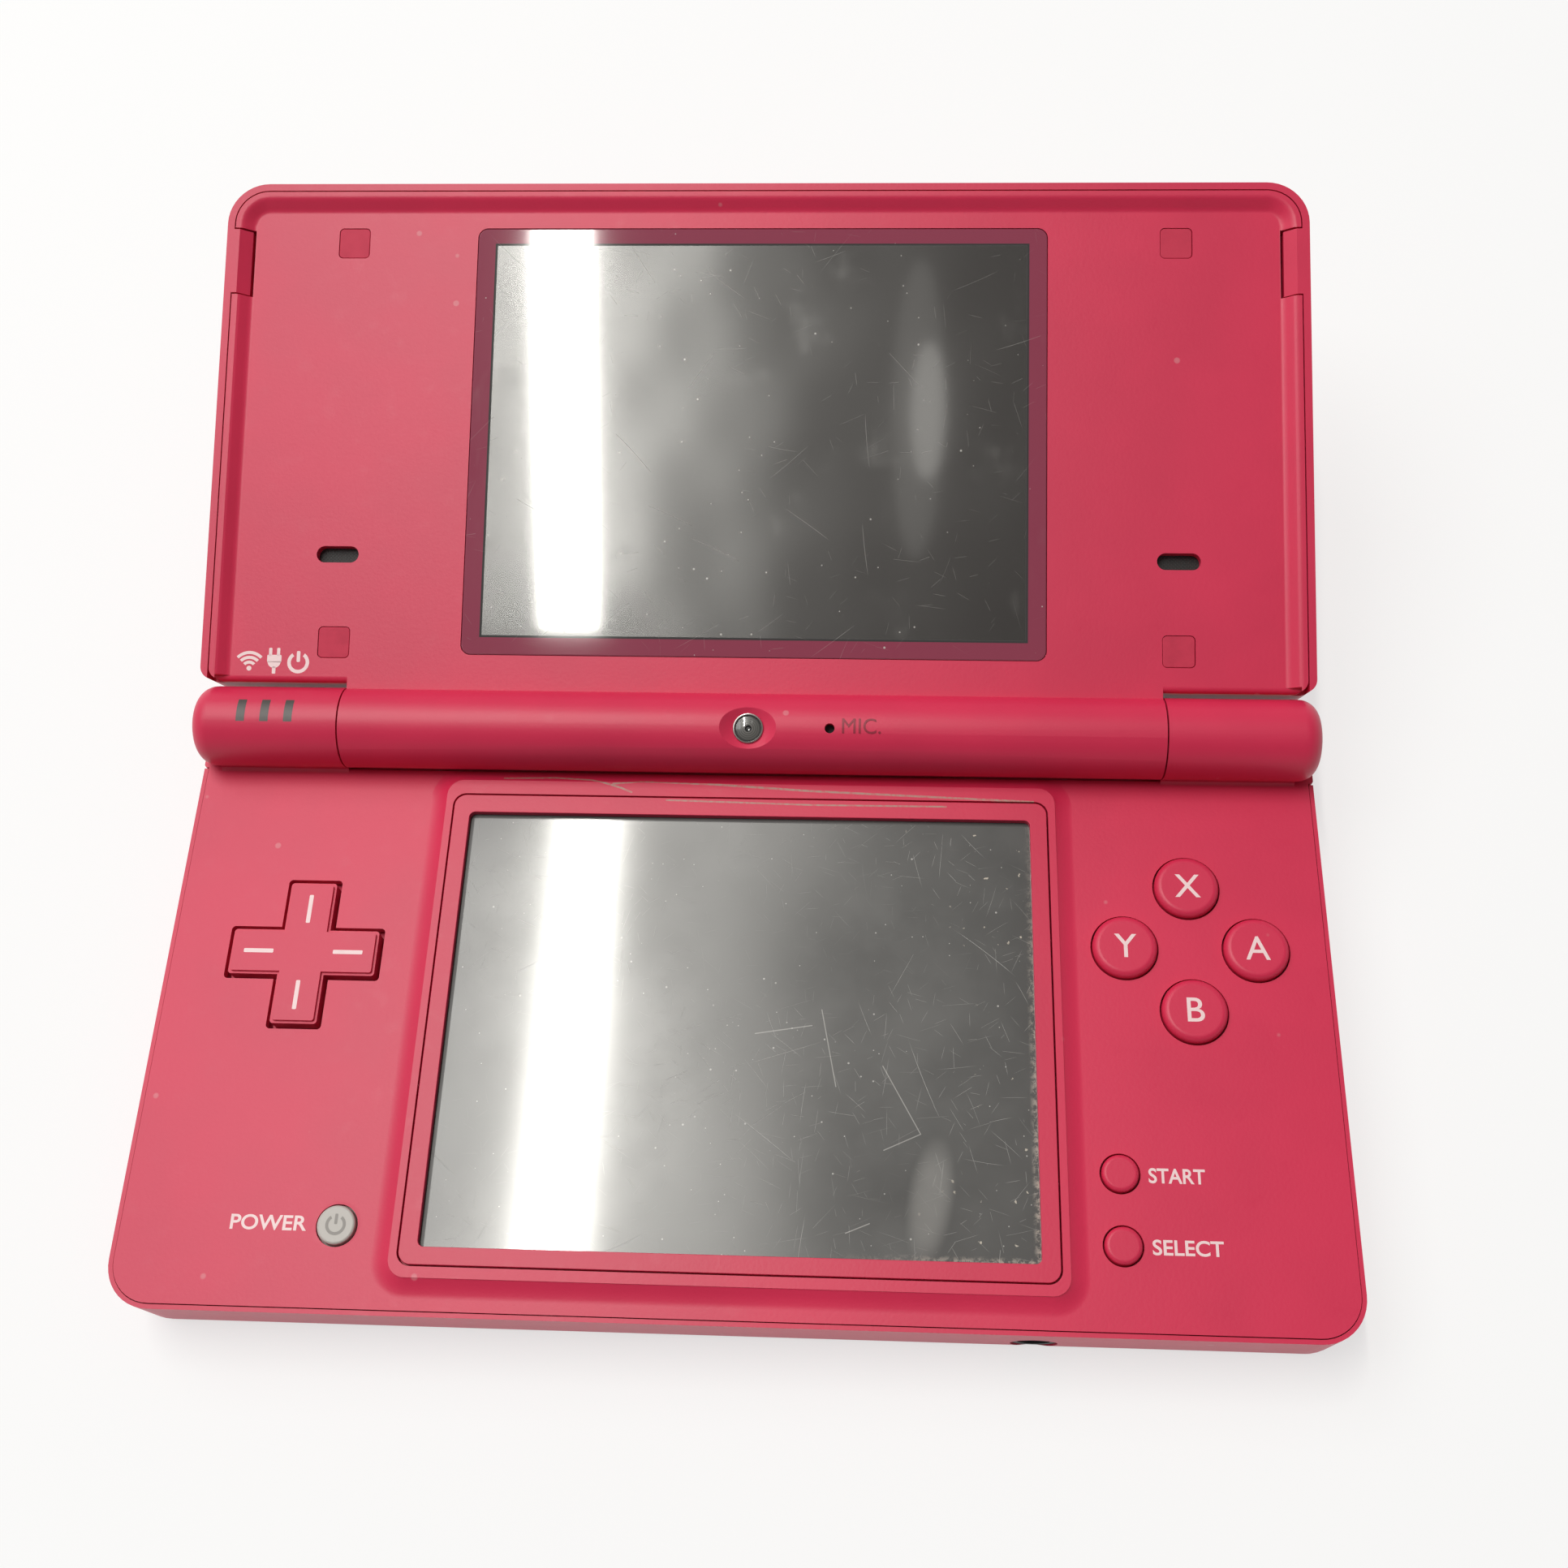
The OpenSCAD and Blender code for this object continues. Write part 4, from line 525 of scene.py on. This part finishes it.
@once
def camera_eye(name, place):
    """Coated grey glass: fine rings round a black pupil."""
    m = Recipe(name)
    local = m.placed(location=place.translation, rotation=place.to_euler(), scale=(MM, MM, MM),
                     kind="TEXTURE")
    x, y, _ = m.split(local)
    out = (x * x + y * y) ** 0.5
    rings = (out * 26.0).sine().rise(-0.6, 0.9)
    tone = m.mix(rings * out.fall(0.7, 1.3), (0.075, 0.072, 0.066), (0.105, 0.10, 0.092))
    tone = m.mix(out.fall(0.34, 0.46), tone, (0.008, 0.008, 0.009))
    tone = m.mix(out.rise(1.38, 1.46), tone, (0.012, 0.012, 0.012))
    return m.finish(m.bump(rings, 0.004 * MM), Base_Color=tone, Roughness=0.22 + rings * 0.1,
                    Coat_Weight=1.0 - rings * 0.1, Coat_Roughness=0.04)


@once
def inner_plastic(name, base, rough=0.5):
    """Plain moulded or sheet material of the inner pieces, slightly uneven."""
    m = Recipe(name)
    cloud = m.noise(160, 3.0, 0.6)
    return m.finish(m.bump(m.noise(1800), 0.01 * MM),
                    Base_Color=m.mix(cloud, shade(base, 0.85), base),
                    Roughness=rough + cloud * 0.12)


@once
def circuit_board(name, base):
    """Solder-masked board: darker fields with rows of bright joints."""
    m = Recipe(name)
    cell, _ = m.cells(m.coords, 420.0, distance="CHEBYCHEV")
    field = m.noise(90, 1.0).rise(0.45, 0.55)
    dot = cell.fall(0.16, 0.2) * m.noise(60, 1.0).rise(0.5, 0.56)
    tone = m.mix(field, shade(base, 0.75), base)
    return m.finish(m.bump(field, 0.03 * MM), Base_Color=m.mix(dot, tone, (0.72, 0.70, 0.60)),
                    Roughness=0.35 + field * 0.1, Metallic=dot * 0.8)


@once
def soft_rubber(name, base):
    """Matt rubber that has picked up a little dirt."""
    m = Recipe(name)
    cloud = m.noise(300, 3.0, 0.65)
    return m.finish(m.bump(m.noise(3200, 3.0, 0.7), 0.012 * MM),
                    Base_Color=m.mix(cloud.rise(0.4, 0.75) * 0.4, base, shade(base, 0.7)),
                    Roughness=0.62 + cloud * 0.12)


@once
def woven_mesh(name, base):
    """Fine dark mesh behind a speaker slot."""
    m = Recipe(name)
    x, y, _ = m.split(m.closed())
    weave = ((x * 14.0).sine() * (y * 14.0).sine()).rise(0.1, 0.5)
    return m.finish(m.bump(weave, 0.06 * MM), Base_Color=m.mix(weave, shade(base, 0.2), base),
                    Roughness=0.55 + weave * 0.1)


@once
def ink_print(name, base):
    """Printed ink, very slightly worn."""
    m = Recipe(name)
    worn = m.noise(900, 3.0, 0.6).rise(0.55, 0.85)
    return m.finish(m.bump(m.noise(2400), 0.006 * MM),
                    Base_Color=m.mix(worn * 0.25, base, shade(base, 0.7)),
                    Roughness=0.45 + worn * 0.1)


# ---- Making pieces ---------------------------------------------------------------


SHARP = math.radians(28)              # a softened piece's edges turn by more than this
MERGE = 0.001 * MM                    # corners of a CAD mesh that are this near are one


def add_object(name, data):
    made = bpy.data.objects.new(name, data)
    bpy.context.scene.collection.objects.link(made)
    return made


def link(name, mesh, body, slot, material, *replaced):
    """A finished piece: it rides on its body and stands for the nodes it replaces."""
    piece = add_object(name, mesh)
    mesh.materials.clear()
    mesh.materials.append(material)
    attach(piece, body)
    if replaced:
        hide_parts(*replaced)
    return piece


def body_of(node):
    return frame["nodes"][node]["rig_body"]


def slot_of(node):
    rows = frame["record"]["subparts"]
    return next(row["material_slot"] for row in rows if row["node"] == node)


def softened(node, edge, material):
    """A merged copy of a CAD node whose sharp edges are rounded."""
    mesh = frame["nodes"][node].data.copy()
    bm = bmesh.new()
    bm.from_mesh(mesh)
    bmesh.ops.remove_doubles(bm, verts=bm.verts, dist=MERGE)
    bmesh.ops.dissolve_limit(bm, angle_limit=math.radians(0.6), verts=bm.verts, edges=bm.edges)
    for face in bm.faces:
        face.smooth = True
    bm.to_mesh(mesh)
    bm.free()
    mesh.set_sharp_from_angle(angle=SHARP)
    piece = link(node + "_moulding", mesh, body_of(node), slot_of(node), material, node)
    bevel = piece.modifiers.new("rounded_edges", "BEVEL")
    bevel.width, bevel.segments, bevel.limit_method = edge, 2, "ANGLE"
    bevel.angle_limit, bevel.harden_normals = SHARP, True
    even = piece.modifiers.new("even_shading", "WEIGHTED_NORMAL")
    even.weight, even.keep_sharp = 90, True


def finish_mesh(bm, name):
    """The mesh of a new piece, with its faces outwards, and smooth but for its edges."""
    bmesh.ops.recalc_face_normals(bm, faces=bm.faces)
    mesh = bpy.data.meshes.new(name)
    for face in bm.faces:
        face.smooth = True
    bm.to_mesh(mesh)
    bm.free()
    mesh.set_sharp_from_angle(angle=math.radians(35))
    return mesh


def spun(profile, place, name, closed):
    """A round piece from its half section in millimetres, set on place's own Z axis."""
    bm = bmesh.new()
    verts = [bm.verts.new((r * MM, 0, z * MM)) for r, z in profile]
    edges = [bm.edges.new(pair) for pair in zip(verts, verts[1:])]
    if closed:
        edges.append(bm.edges.new((verts[-1], verts[0])))
    bmesh.ops.spin(bm, geom=[*verts, *edges], cent=(0, 0, 0), axis=(0, 0, 1),
                   angle=2 * math.pi, steps=64, use_merge=True)
    bmesh.ops.remove_doubles(bm, verts=bm.verts, dist=0.0005 * MM)
    bmesh.ops.transform(bm, matrix=place, verts=bm.verts)
    return finish_mesh(bm, name)


def written(text, height, thickness, weight=0.0):
    """Letters as a closed flat mesh in a bmesh: base line on y = 0, centred on x = 0."""
    curve = bpy.data.curves.new("word", "FONT")
    curve.body, curve.align_x = text, "CENTER"
    curve.size, curve.offset, curve.extrude = 1.0, weight, 0.1
    curve.resolution_u = 6
    holder = bpy.data.objects.new("word", curve)
    bpy.context.scene.collection.objects.link(holder)
    bpy.context.view_layer.update()
    evaluated = holder.evaluated_get(bpy.context.evaluated_depsgraph_get())
    mesh = bpy.data.meshes.new_from_object(evaluated)
    bm = bmesh.new()
    bm.from_mesh(mesh)
    bpy.data.objects.remove(holder)
    bpy.data.meshes.remove(mesh)
    bpy.data.curves.remove(curve)
    bmesh.ops.remove_doubles(bm, verts=bm.verts, dist=1e-5)
    low = min(v.co.y for v in bm.verts)
    high = max(v.co.y for v in bm.verts)
    scale = height / (high - low)
    wide = [min(v.co.x for v in bm.verts), max(v.co.x for v in bm.verts)]
    bmesh.ops.translate(bm, verts=bm.verts, vec=(-sum(wide) / 2, -low, 0.1))
    bmesh.ops.scale(bm, verts=bm.verts, vec=(scale, scale, thickness / 0.2))
    return bm


def stretch_to(bm, width):
    """Widens flat letters to a given width, keeping their middle."""
    now = max(v.co.x for v in bm.verts) - min(v.co.x for v in bm.verts)
    bmesh.ops.scale(bm, verts=bm.verts, vec=(width / now, 1, 1))


def bar(bm, x, y, width, height, thickness, round_r=0.0):
    """A flat bar of ink, round at its corners."""
    part = bmesh.new()
    bmesh.ops.create_grid(part, x_segments=1, y_segments=1, size=0.5)
    bmesh.ops.scale(part, verts=part.verts, vec=(width, height, 1))
    if round_r:
        bmesh.ops.bevel(part, geom=part.verts, offset=round_r, affect="VERTICES", segments=4,
                        profile=0.5, material=-1)
    top = bmesh.ops.extrude_face_region(part, geom=part.faces)["geom"]
    bmesh.ops.translate(part, verts=[g for g in top if isinstance(g, bmesh.types.BMVert)],
                        vec=(0, 0, thickness))
    bmesh.ops.translate(part, verts=part.verts, vec=(x, y, 0))
    join_to(bm, part)


def join_to(bm, part):
    """Adds one bmesh to another and frees it."""
    keep = bpy.data.meshes.new("part")
    part.to_mesh(keep)
    part.free()
    bm.from_mesh(keep)
    bpy.data.meshes.remove(keep)


def arc(bm, x, y, radius, width, start, end, thickness, steps=20):
    """A curved band of ink about (x, y), from start to end in degrees."""
    first = Matrix.Rotation(math.radians(start), 4, "Z")
    inner, outer = radius - width / 2, radius + width / 2
    section = [(inner, 0, 0), (outer, 0, 0), (outer, 0, thickness), (inner, 0, thickness)]
    verts = [bm.verts.new(first @ Vector(c) + Vector((x, y, 0))) for c in section]
    full = abs(end - start) > 359
    if full:              # a whole ring has no ends, so only the section's outline is spun
        ends, edges = [], [bm.edges.new(pair) for pair in zip(verts, verts[1:] + verts[:1])]
    else:
        ends = [bm.faces.new(verts)]
        edges = ends[0].edges
    bmesh.ops.spin(bm, geom=[*ends, *edges, *verts], cent=(x, y, 0), axis=(0, 0, 1),
                   angle=math.radians(end - start), steps=steps, use_merge=full)


def power_sign(bm, x, y, size, width, thickness):
    """The usual sign for switching on and off: an open ring and a bar."""
    radius = size / 2 - width / 2
    arc(bm, x, y, radius, width, 125, 415, thickness, 28)
    bar(bm, x, y + size * 0.27, width, size * 0.5, thickness, width * 0.3)


# ---- Sizes of the small details --------------------------------------------------

# how much the edges of the insert, window, touch panel and outer camera's ring are rounded
INSERT_EDGE, WINDOW_EDGE, PANEL_EDGE, RING_EDGE = 0.06 * MM, 0.15 * MM, 0.1 * MM, 0.15 * MM
# how far the strokes are fattened, as a share of the type's size
LETTER_WEIGHT, WORD_WEIGHT = 0.004, 0.018
# the middle of each word's base line and its width, in millimetres
WORDS = {"POWER": (-51.22, -28.69, 8.62), "START": (49.14, -20.97, 6.18),
         "SELECT": (49.90, -28.72, 7.65)}
# the lid's three signs: the face that they are on is turned over, so y falls to the hinge
WAVES_AT, PLUG_X, POWER_AT = (-62.28 * MM, -25.2 * MM), -59.16 * MM, (-56.13 * MM, -24.3 * MM)
SIGN_SUNK = 0.005 * MM                        # the sign on the power button is set in by this
# MIC. on the barrel: its middle, its size and how far it stands up, in metres
MIC_X, MIC_WIDTH, MIC_HEIGHT, MIC_RELIEF = 13.64 * MM, 4.64 * MM, 1.86 * MM, 0.06 * MM
MIC_ROOT = 0.2 * MM                           # how deep its letters reach into the barrel
MIC_ANGLE = math.radians(115)                 # where its base line lies round the barrel
MIC_STRIPS = 6                                # it is cut into strips, to follow the barrel
# half sections of the inner camera's ring and eye: radius and height in millimetres
RING_SECTION = [(1.84, -0.70), (1.84, 0.62), (1.79, 0.71), (1.71, 0.73), (1.63, 0.66),
                (1.56, 0.42), (1.56, -0.70)]
EYE_SECTION = [(1.56, 0.36), (1.10, 0.44), (0.62, 0.49), (0.40, 0.50), (0.34, 0.44),
               (0.26, 0.30), (0.0, 0.26)]


# ---- Operators -------------------------------------------------------------------


def pink(name, base, **options):
    """The casing's plastic in one of its shades."""
    return moulded_plastic(name, colour(base), **options)


class CONSOLE_OT_casing(bpy.types.Operator):
    """Make the base's casing, screen frame insert, battery cover and card cover"""

    bl_idname = "console.casing"
    bl_label = "Base casing"

    def execute(self, context):
        casing = context.scene.console_casing
        shell = pink("shell_plastic", casing.shell)
        deck = pink("deck_plastic", casing.deck, rubbed=LIP_MARKS)
        softened("base_bottom_shell", casing.edge, shell)
        softened("base_top_shell", casing.edge, deck)
        softened("touch_screen_bezel", INSERT_EDGE,
                 pink("insert_plastic", casing.insert, rough=0.36, rubbed=INSERT_MARKS))
        softened("battery_cover", casing.edge, shell)
        softened("sd_slot_cover", casing.edge, shell)
        return {"FINISHED"}


class CONSOLE_OT_lid(bpy.types.Operator):
    """Make the lid's two shells and the rubber pads"""

    bl_idname = "console.lid"
    bl_label = "Lid"

    def execute(self, context):
        casing = context.scene.console_casing
        softened("lid_outer_shell", casing.edge, pink("shell_plastic", casing.shell))
        softened("lid_inner_panel", casing.edge,
                 pink("deck_plastic", casing.deck, rubbed=LIP_MARKS))
        softened("lid_pads", casing.edge, soft_rubber("pad_rubber", colour(casing.pad)))
        return {"FINISHED"}


class CONSOLE_OT_screens(bpy.types.Operator):
    """Finish the upper window and the touch film"""

    bl_idname = "console.screens"
    bl_label = "Screens"

    def execute(self, context):
        look = context.scene.console_screens
        window = window_print("window_glass", colour(look.border), colour(look.glass),
                              colour(look.scratch), look.visible_half_width,
                              look.visible_half_height, look.visible_y)
        softened("upper_window", WINDOW_EDGE, window)
        film = worn_film("touch_film", colour(look.film), colour(look.scratch))
        softened("touch_panel", PANEL_EDGE, film)
        return {"FINISHED"}


class CONSOLE_OT_buttons(bpy.types.Operator):
    """Make the round buttons with their letters, the other buttons and the stylus"""

    bl_idname = "console.buttons"
    bl_label = "Buttons"

    def execute(self, context):
        scene = context.scene
        look, ink = scene.console_buttons, scene.console_lettering
        cap = pink("button_plastic", look.cap, rough=0.36)
        shell = pink("shell_plastic", scene.console_casing.shell)
        print_ink = ink_print("letter_ink", colour(ink.ink))
        for letter in "abxy":
            node = "button_" + letter
            softened(node, look.edge, cap)
            bm = written(letter.upper(), ink.letter, ink.lift, LETTER_WEIGHT)
            spot = middle(node)
            bmesh.ops.translate(bm, verts=bm.verts,
                                vec=(spot.x, spot.y - ink.letter / 2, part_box(node)[1].z))
            link("letter_" + letter, finish_mesh(bm, node), node, "button_pink", print_ink)
        for node in ("button_start", "button_select"):
            softened(node, look.edge, cap)
        grey = moulded_plastic("power_plastic", colour(look.power), rough=0.35)
        softened("button_power", look.edge, grey)
        bm = bmesh.new()
        power_sign(bm, 0, 0, size=2.3 * MM, width=0.34 * MM, thickness=0.02 * MM)
        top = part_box("button_power")[1].z
        bmesh.ops.translate(bm, verts=bm.verts,
                            vec=(*middle("button_power").xy, top - SIGN_SUNK))
        link("power_button_sign", finish_mesh(bm, "sign"), "button_power", "button_grey",
             moulded_plastic("power_sign_plastic", shade(look.power, 0.62), rough=0.5))
        for node in ("shoulder_button_left", "shoulder_button_right", "volume_up_button",
                     "volume_down_button", "stylus"):
            softened(node, look.edge, shell)
        return {"FINISHED"}


class CONSOLE_OT_direction_pad(bpy.types.Operator):
    """Make the direction pad and the four lines on its arms"""

    bl_idname = "console.direction_pad"
    bl_label = "Direction pad"

    def execute(self, context):
        scene = context.scene
        softened("dpad_cross", scene.console_buttons.edge,
                 pink("pad_plastic", scene.console_buttons.cap, rough=0.38))
        ink = scene.console_lettering
        bm = bmesh.new()
        spot = middle("dpad_cross")
        reach, long, wide = 5.35 * MM, 3.55 * MM, 0.5 * MM
        for turn in range(4):
            part = bmesh.new()
            bar(part, 0, reach, wide, long, ink.lift, 0.12 * MM)
            bmesh.ops.rotate(part, verts=part.verts, cent=(0, 0, 0),
                             matrix=Matrix.Rotation(turn * math.pi / 2, 3, "Z"))
            join_to(bm, part)
        bmesh.ops.translate(bm, verts=bm.verts, vec=(spot.x, spot.y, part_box("dpad_cross")[1].z))
        link("dpad_lines", finish_mesh(bm, "lines"), "dpad", "button_pink",
             ink_print("letter_ink", colour(ink.ink)))
        return {"FINISHED"}


class CONSOLE_OT_lettering(bpy.types.Operator):
    """Print the small words and signs, and mould the word beside the microphone"""

    bl_idname = "console.lettering"
    bl_label = "Words and signs"

    def execute(self, context):
        scene = context.scene
        ink = scene.console_lettering
        print_ink = ink_print("letter_ink", colour(ink.ink))
        for word, (x, y, width) in WORDS.items():
            bm = written(word, ink.word, ink.lift, WORD_WEIGHT)
            stretch_to(bm, width * MM)
            bmesh.ops.translate(bm, verts=bm.verts, vec=(x * MM, y * MM, DECK_Z))
            link("word_" + word.lower(), finish_mesh(bm, word), "base", "deck_pink", print_ink)
        self.icons(ink, print_ink)
        self.microphone_word(scene)
        return {"FINISHED"}

    def icons(self, ink, print_ink):
        """Wireless, charging and power signs on the lid's inner face, above the lamps."""
        bm = bmesh.new()
        lift = ink.lift
        # wireless: a dot under three arcs
        x, y = WAVES_AT
        for radius in (0.86, 1.47, 2.08):
            arc(bm, x, y, radius * MM, 0.38 * MM, 44, 136, lift, 12)
        arc(bm, x, y + 0.1 * MM, 0.16 * MM, 0.3 * MM, 0, 360, lift, 12)
        # charging plug: two pins, a body and its lead
        x = PLUG_X
        for side in (-1, 1):
            bar(bm, x + side * 0.5 * MM, -22.98 * MM, 0.40 * MM, 0.96 * MM, lift, 0.12 * MM)
        bar(bm, x, -23.85 * MM, 1.80 * MM, 0.95 * MM, lift, 0.15 * MM)
        arc(bm, x, -24.2 * MM, 0.42 * MM, 0.82 * MM, 180, 360, lift, 16)
        bar(bm, x, -25.3 * MM, 0.44 * MM, 0.9 * MM, lift, 0.1 * MM)
        power_sign(bm, *POWER_AT, size=2.75 * MM, width=0.44 * MM, thickness=lift)
        # the face looks down on the closed lid, so the signs are turned over onto it
        turn = LID @ Matrix.Translation((0, 0, LID_FACE_Z)) @ Matrix.Rotation(math.pi, 4, "X")
        bmesh.ops.transform(bm, matrix=turn, verts=bm.verts)
        link("lamp_signs", finish_mesh(bm, "signs"), "lid", "deck_pink", print_ink)

    def microphone_word(self, scene):
        """MIC. stands up from the barrel; its darker tone of the deck's colour is painted shade,
        for the shading round its low letters.
        """
        bm = written("MIC.", MIC_HEIGHT, MIC_RELIEF + MIC_ROOT)
        stretch_to(bm, MIC_WIDTH)
        bmesh.ops.triangulate(bm, faces=bm.faces)
        for step in range(1, MIC_STRIPS):
            bmesh.ops.bisect_plane(bm, geom=[*bm.verts, *bm.edges, *bm.faces], dist=1e-7,
                                   plane_co=(0, MIC_HEIGHT * step / MIC_STRIPS, 0),
                                   plane_no=(0, 1, 0))
        for vert in bm.verts:
            radius = BARREL_R - MIC_ROOT + vert.co.z
            angle = MIC_ANGLE - vert.co.y / BARREL_R
            vert.co = Vector((vert.co.x + MIC_X, HINGE.y + radius * math.cos(angle),
                              HINGE.z + radius * math.sin(angle)))
        # painted shade: the word's plastic is the deck's colour darkened, standing in for the
        # shading round its relief
        link("word_mic", finish_mesh(bm, "mic"), "lid", "deck_pink",
             pink("mic_word_plastic", shade(scene.console_casing.deck, 0.42)))


class CONSOLE_OT_cameras(bpy.types.Operator):
    """Make the outer camera's ring, and the inner camera's ring and eye"""

    bl_idname = "console.cameras"
    bl_label = "Cameras"

    def execute(self, context):
        silver = metal("ring_metal", (0.42, 0.40, 0.38), 0.22)
        softened("outer_camera_ring", RING_EDGE, silver)
        self.inner_camera(silver)
        return {"FINISHED"}

    def inner_camera(self, silver):
        """A thin turned ring round a grey eye with a dark pupil."""
        spot = middle("inner_camera_ring")
        turn = Vector((0, 0, 1)).rotation_difference(LID_LOOKS).to_matrix().to_4x4()
        place = Matrix.Translation(spot) @ turn
        link("inner_camera_turned_ring", spun(RING_SECTION, place, "ring", True), "lid",
             slot_of("inner_camera_ring"), silver, "inner_camera_ring")
        link("inner_camera_eye", spun(EYE_SECTION, place, "eye", False), "lid",
             slot_of("inner_camera_lens"), camera_eye("camera_eye", place), "inner_camera_lens")


INNER_FINISHES = {
    "metal": lambda: metal("plated_steel", (0.60, 0.60, 0.60), 0.3),
    "sheet_metal": lambda: metal("stamped_metal", (0.55, 0.56, 0.57), 0.38),
    "circuit_board": lambda: circuit_board("board_mask", (0.015, 0.09, 0.045)),
    "contact_rubber": lambda: soft_rubber("contact_silicone", (0.62, 0.60, 0.55)),
    "dark_plastic": lambda: inner_plastic("black_plastic", (0.018, 0.018, 0.020)),
    "battery_wrap": lambda: inner_plastic("battery_sleeve", (0.035, 0.038, 0.042), 0.4),
    "lcd_dark": lambda: inner_plastic("display_module", (0.02, 0.02, 0.022), 0.25),
    "lamp_window": lambda: inner_plastic("lamp_light_guide", (0.050, 0.038, 0.034), 0.3),
    "lens_glass": lambda: inner_plastic("lens_coating", (0.02, 0.02, 0.024), 0.1),
    "mesh_black": lambda: woven_mesh("speaker_weave", (0.03, 0.03, 0.03)),
}


class CONSOLE_OT_inner_pieces(bpy.types.Operator):
    """Give each remaining CAD node its finish"""

    bl_idname = "console.inner_pieces"
    bl_label = "Inner pieces"

    def execute(self, context):
        for name, node in frame["nodes"].items():
            if node.hide_render:
                continue
            finish = INNER_FINISHES["dark_plastic" if name == "microphone" else slot_of(name)]()
            node.data.materials.clear()
            node.data.materials.append(finish)
        return {"FINISHED"}


# the camera that sees the console as in the photo
CAMERA_PLACE = Vector((14.398, -61.225, 200.45)) * MM
CAMERA_BACK, CAMERA_UP = Vector((0.04852, -0.41938, 0.90652)), Vector((-0.01523, 0.90717, 0.42049))
CAMERA_LENS = 39.18                           # for a sensor 36 mm wide
FLOOR_HALF, FLOOR_Z = 10, -0.05 * MM          # just clear of the casing's underside
FLOOR_WHITE = 0.66                            # the share of plain white where the floor is seen
WARM = (1.0, 0.98, 0.92)


class CONSOLE_OT_stage(bpy.types.Operator):
    """Set the floor, the light and the camera"""

    bl_idname = "console.stage"
    bl_label = "Stage"

    def execute(self, context):
        look = context.scene.console_stage
        self.floor(look)
        self.world(look)
        self.lamps(look)
        self.camera()
        context.scene.view_settings.view_transform = "Standard"
        return {"FINISHED"}

    def floor(self, look):
        bm = bmesh.new()
        bmesh.ops.create_grid(bm, x_segments=1, y_segments=1, size=FLOOR_HALF)
        bmesh.ops.translate(bm, verts=bm.verts, vec=(0, 0, FLOOR_Z))
        mesh = bpy.data.meshes.new("floor")
        bm.to_mesh(mesh)
        bm.free()
        mesh.materials.append(Recipe("floor_paint").backdrop(colour(look.floor), FLOOR_WHITE))
        add_object("floor", mesh)

    def world(self, look):
        world = bpy.data.worlds.new("room")
        bpy.context.scene.world = world
        world.use_nodes = True
        m = Recipe("room", world)
        way = m.node("ShaderNodeTexCoord", output="Generated")
        # brightest overhead and a little to the rear, dim low in front
        height = m.vector_maths("DOT_PRODUCT", way, (-0.15, 0.30, 0.94), "Value")
        light = m.node("ShaderNodeBackground", None, (1.0, 0.975, 0.94),
                       (0.10 + height.rise(-0.05, 0.90) * 0.90) * look.room)
        # low round the floor the room is seen, and mirrored, as white
        low = m.split(way)[2].fall(0.25, 0.75) * m.seen()
        white = m.node("ShaderNodeBackground", None, (1, 1, 1), 1.0)
        m.node("ShaderNodeOutputWorld", None,
               m.node("ShaderNodeMixShader", None, low, light, white))

    def lamps(self, look):
        def area(name, place, size, power, warmth=(1, 1, 1), shape="RECTANGLE"):
            lamp = bpy.data.lights.new(name, "AREA")
            lamp.shape, lamp.size, lamp.size_y = shape, size[0], size[1]
            lamp.energy, lamp.color = power, warmth
            add_object(name, lamp).location = place

        # the long tube that both screens mirror, a far window and a soft panel on the left
        area("tube_lamp", (-0.285, 0.34, 1.5), (0.058, 0.908), look.tube, (1.0, 0.985, 0.92))
        area("far_window", (0.068, 0.10, 1.5), (0.034, 0.13), 0.036, WARM, "ELLIPSE")
        area("far_glow", (0.058, 0.10, 1.49), (0.05, 0.28), 0.035, WARM, "ELLIPSE")
        area("soft_panel", (-0.865, 0.50, 1.25), (0.97, 1.4), 12.0)

    def camera(self):
        data = bpy.data.cameras.new("photo_camera")
        data.sensor_width, data.lens = 36.0, CAMERA_LENS
        data.clip_start, data.clip_end = 0.005, 20
        right = CAMERA_UP.cross(CAMERA_BACK).normalized()
        up = CAMERA_BACK.cross(right).normalized()
        turn = Matrix((right, up, CAMERA_BACK.normalized())).transposed().to_4x4()
        camera = add_object("photo_camera", data)
        camera.matrix_world = Matrix.Translation(CAMERA_PLACE) @ turn
        bpy.context.scene.camera = camera


OPERATORS = [CONSOLE_OT_stage, CONSOLE_OT_casing, CONSOLE_OT_lid, CONSOLE_OT_screens,
             CONSOLE_OT_buttons, CONSOLE_OT_direction_pad, CONSOLE_OT_lettering,
             CONSOLE_OT_cameras, CONSOLE_OT_inner_pieces]


class CONSOLE_PT_panel(bpy.types.Panel):
    bl_label = "Handheld Console"
    bl_idname = "CONSOLE_PT_panel"
    bl_space_type = "VIEW_3D"
    bl_region_type = "UI"
    bl_category = "Console"

    def draw(self, context):
        for name, group in GROUPS.items():
            box = self.layout.box()
            for key in group.__annotations__:
                box.prop(getattr(context.scene, name), key)
        for operator in OPERATORS:
            self.layout.operator(operator.bl_idname)


def register():
    for cls in (*GROUPS.values(), *OPERATORS, CONSOLE_PT_panel):
        bpy.utils.register_class(cls)
    for name, group in GROUPS.items():
        setattr(bpy.types.Scene, name, PointerProperty(type=group))


def unregister():
    for name in GROUPS:
        delattr(bpy.types.Scene, name)
    for cls in reversed((*GROUPS.values(), *OPERATORS, CONSOLE_PT_panel)):
        bpy.utils.unregister_class(cls)


def main():
    register()
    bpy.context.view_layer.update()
    for operator in OPERATORS:
        group, action = operator.bl_idname.split(".")
        getattr(getattr(bpy.ops, group), action)()


if __name__ == "__main__":
    main()
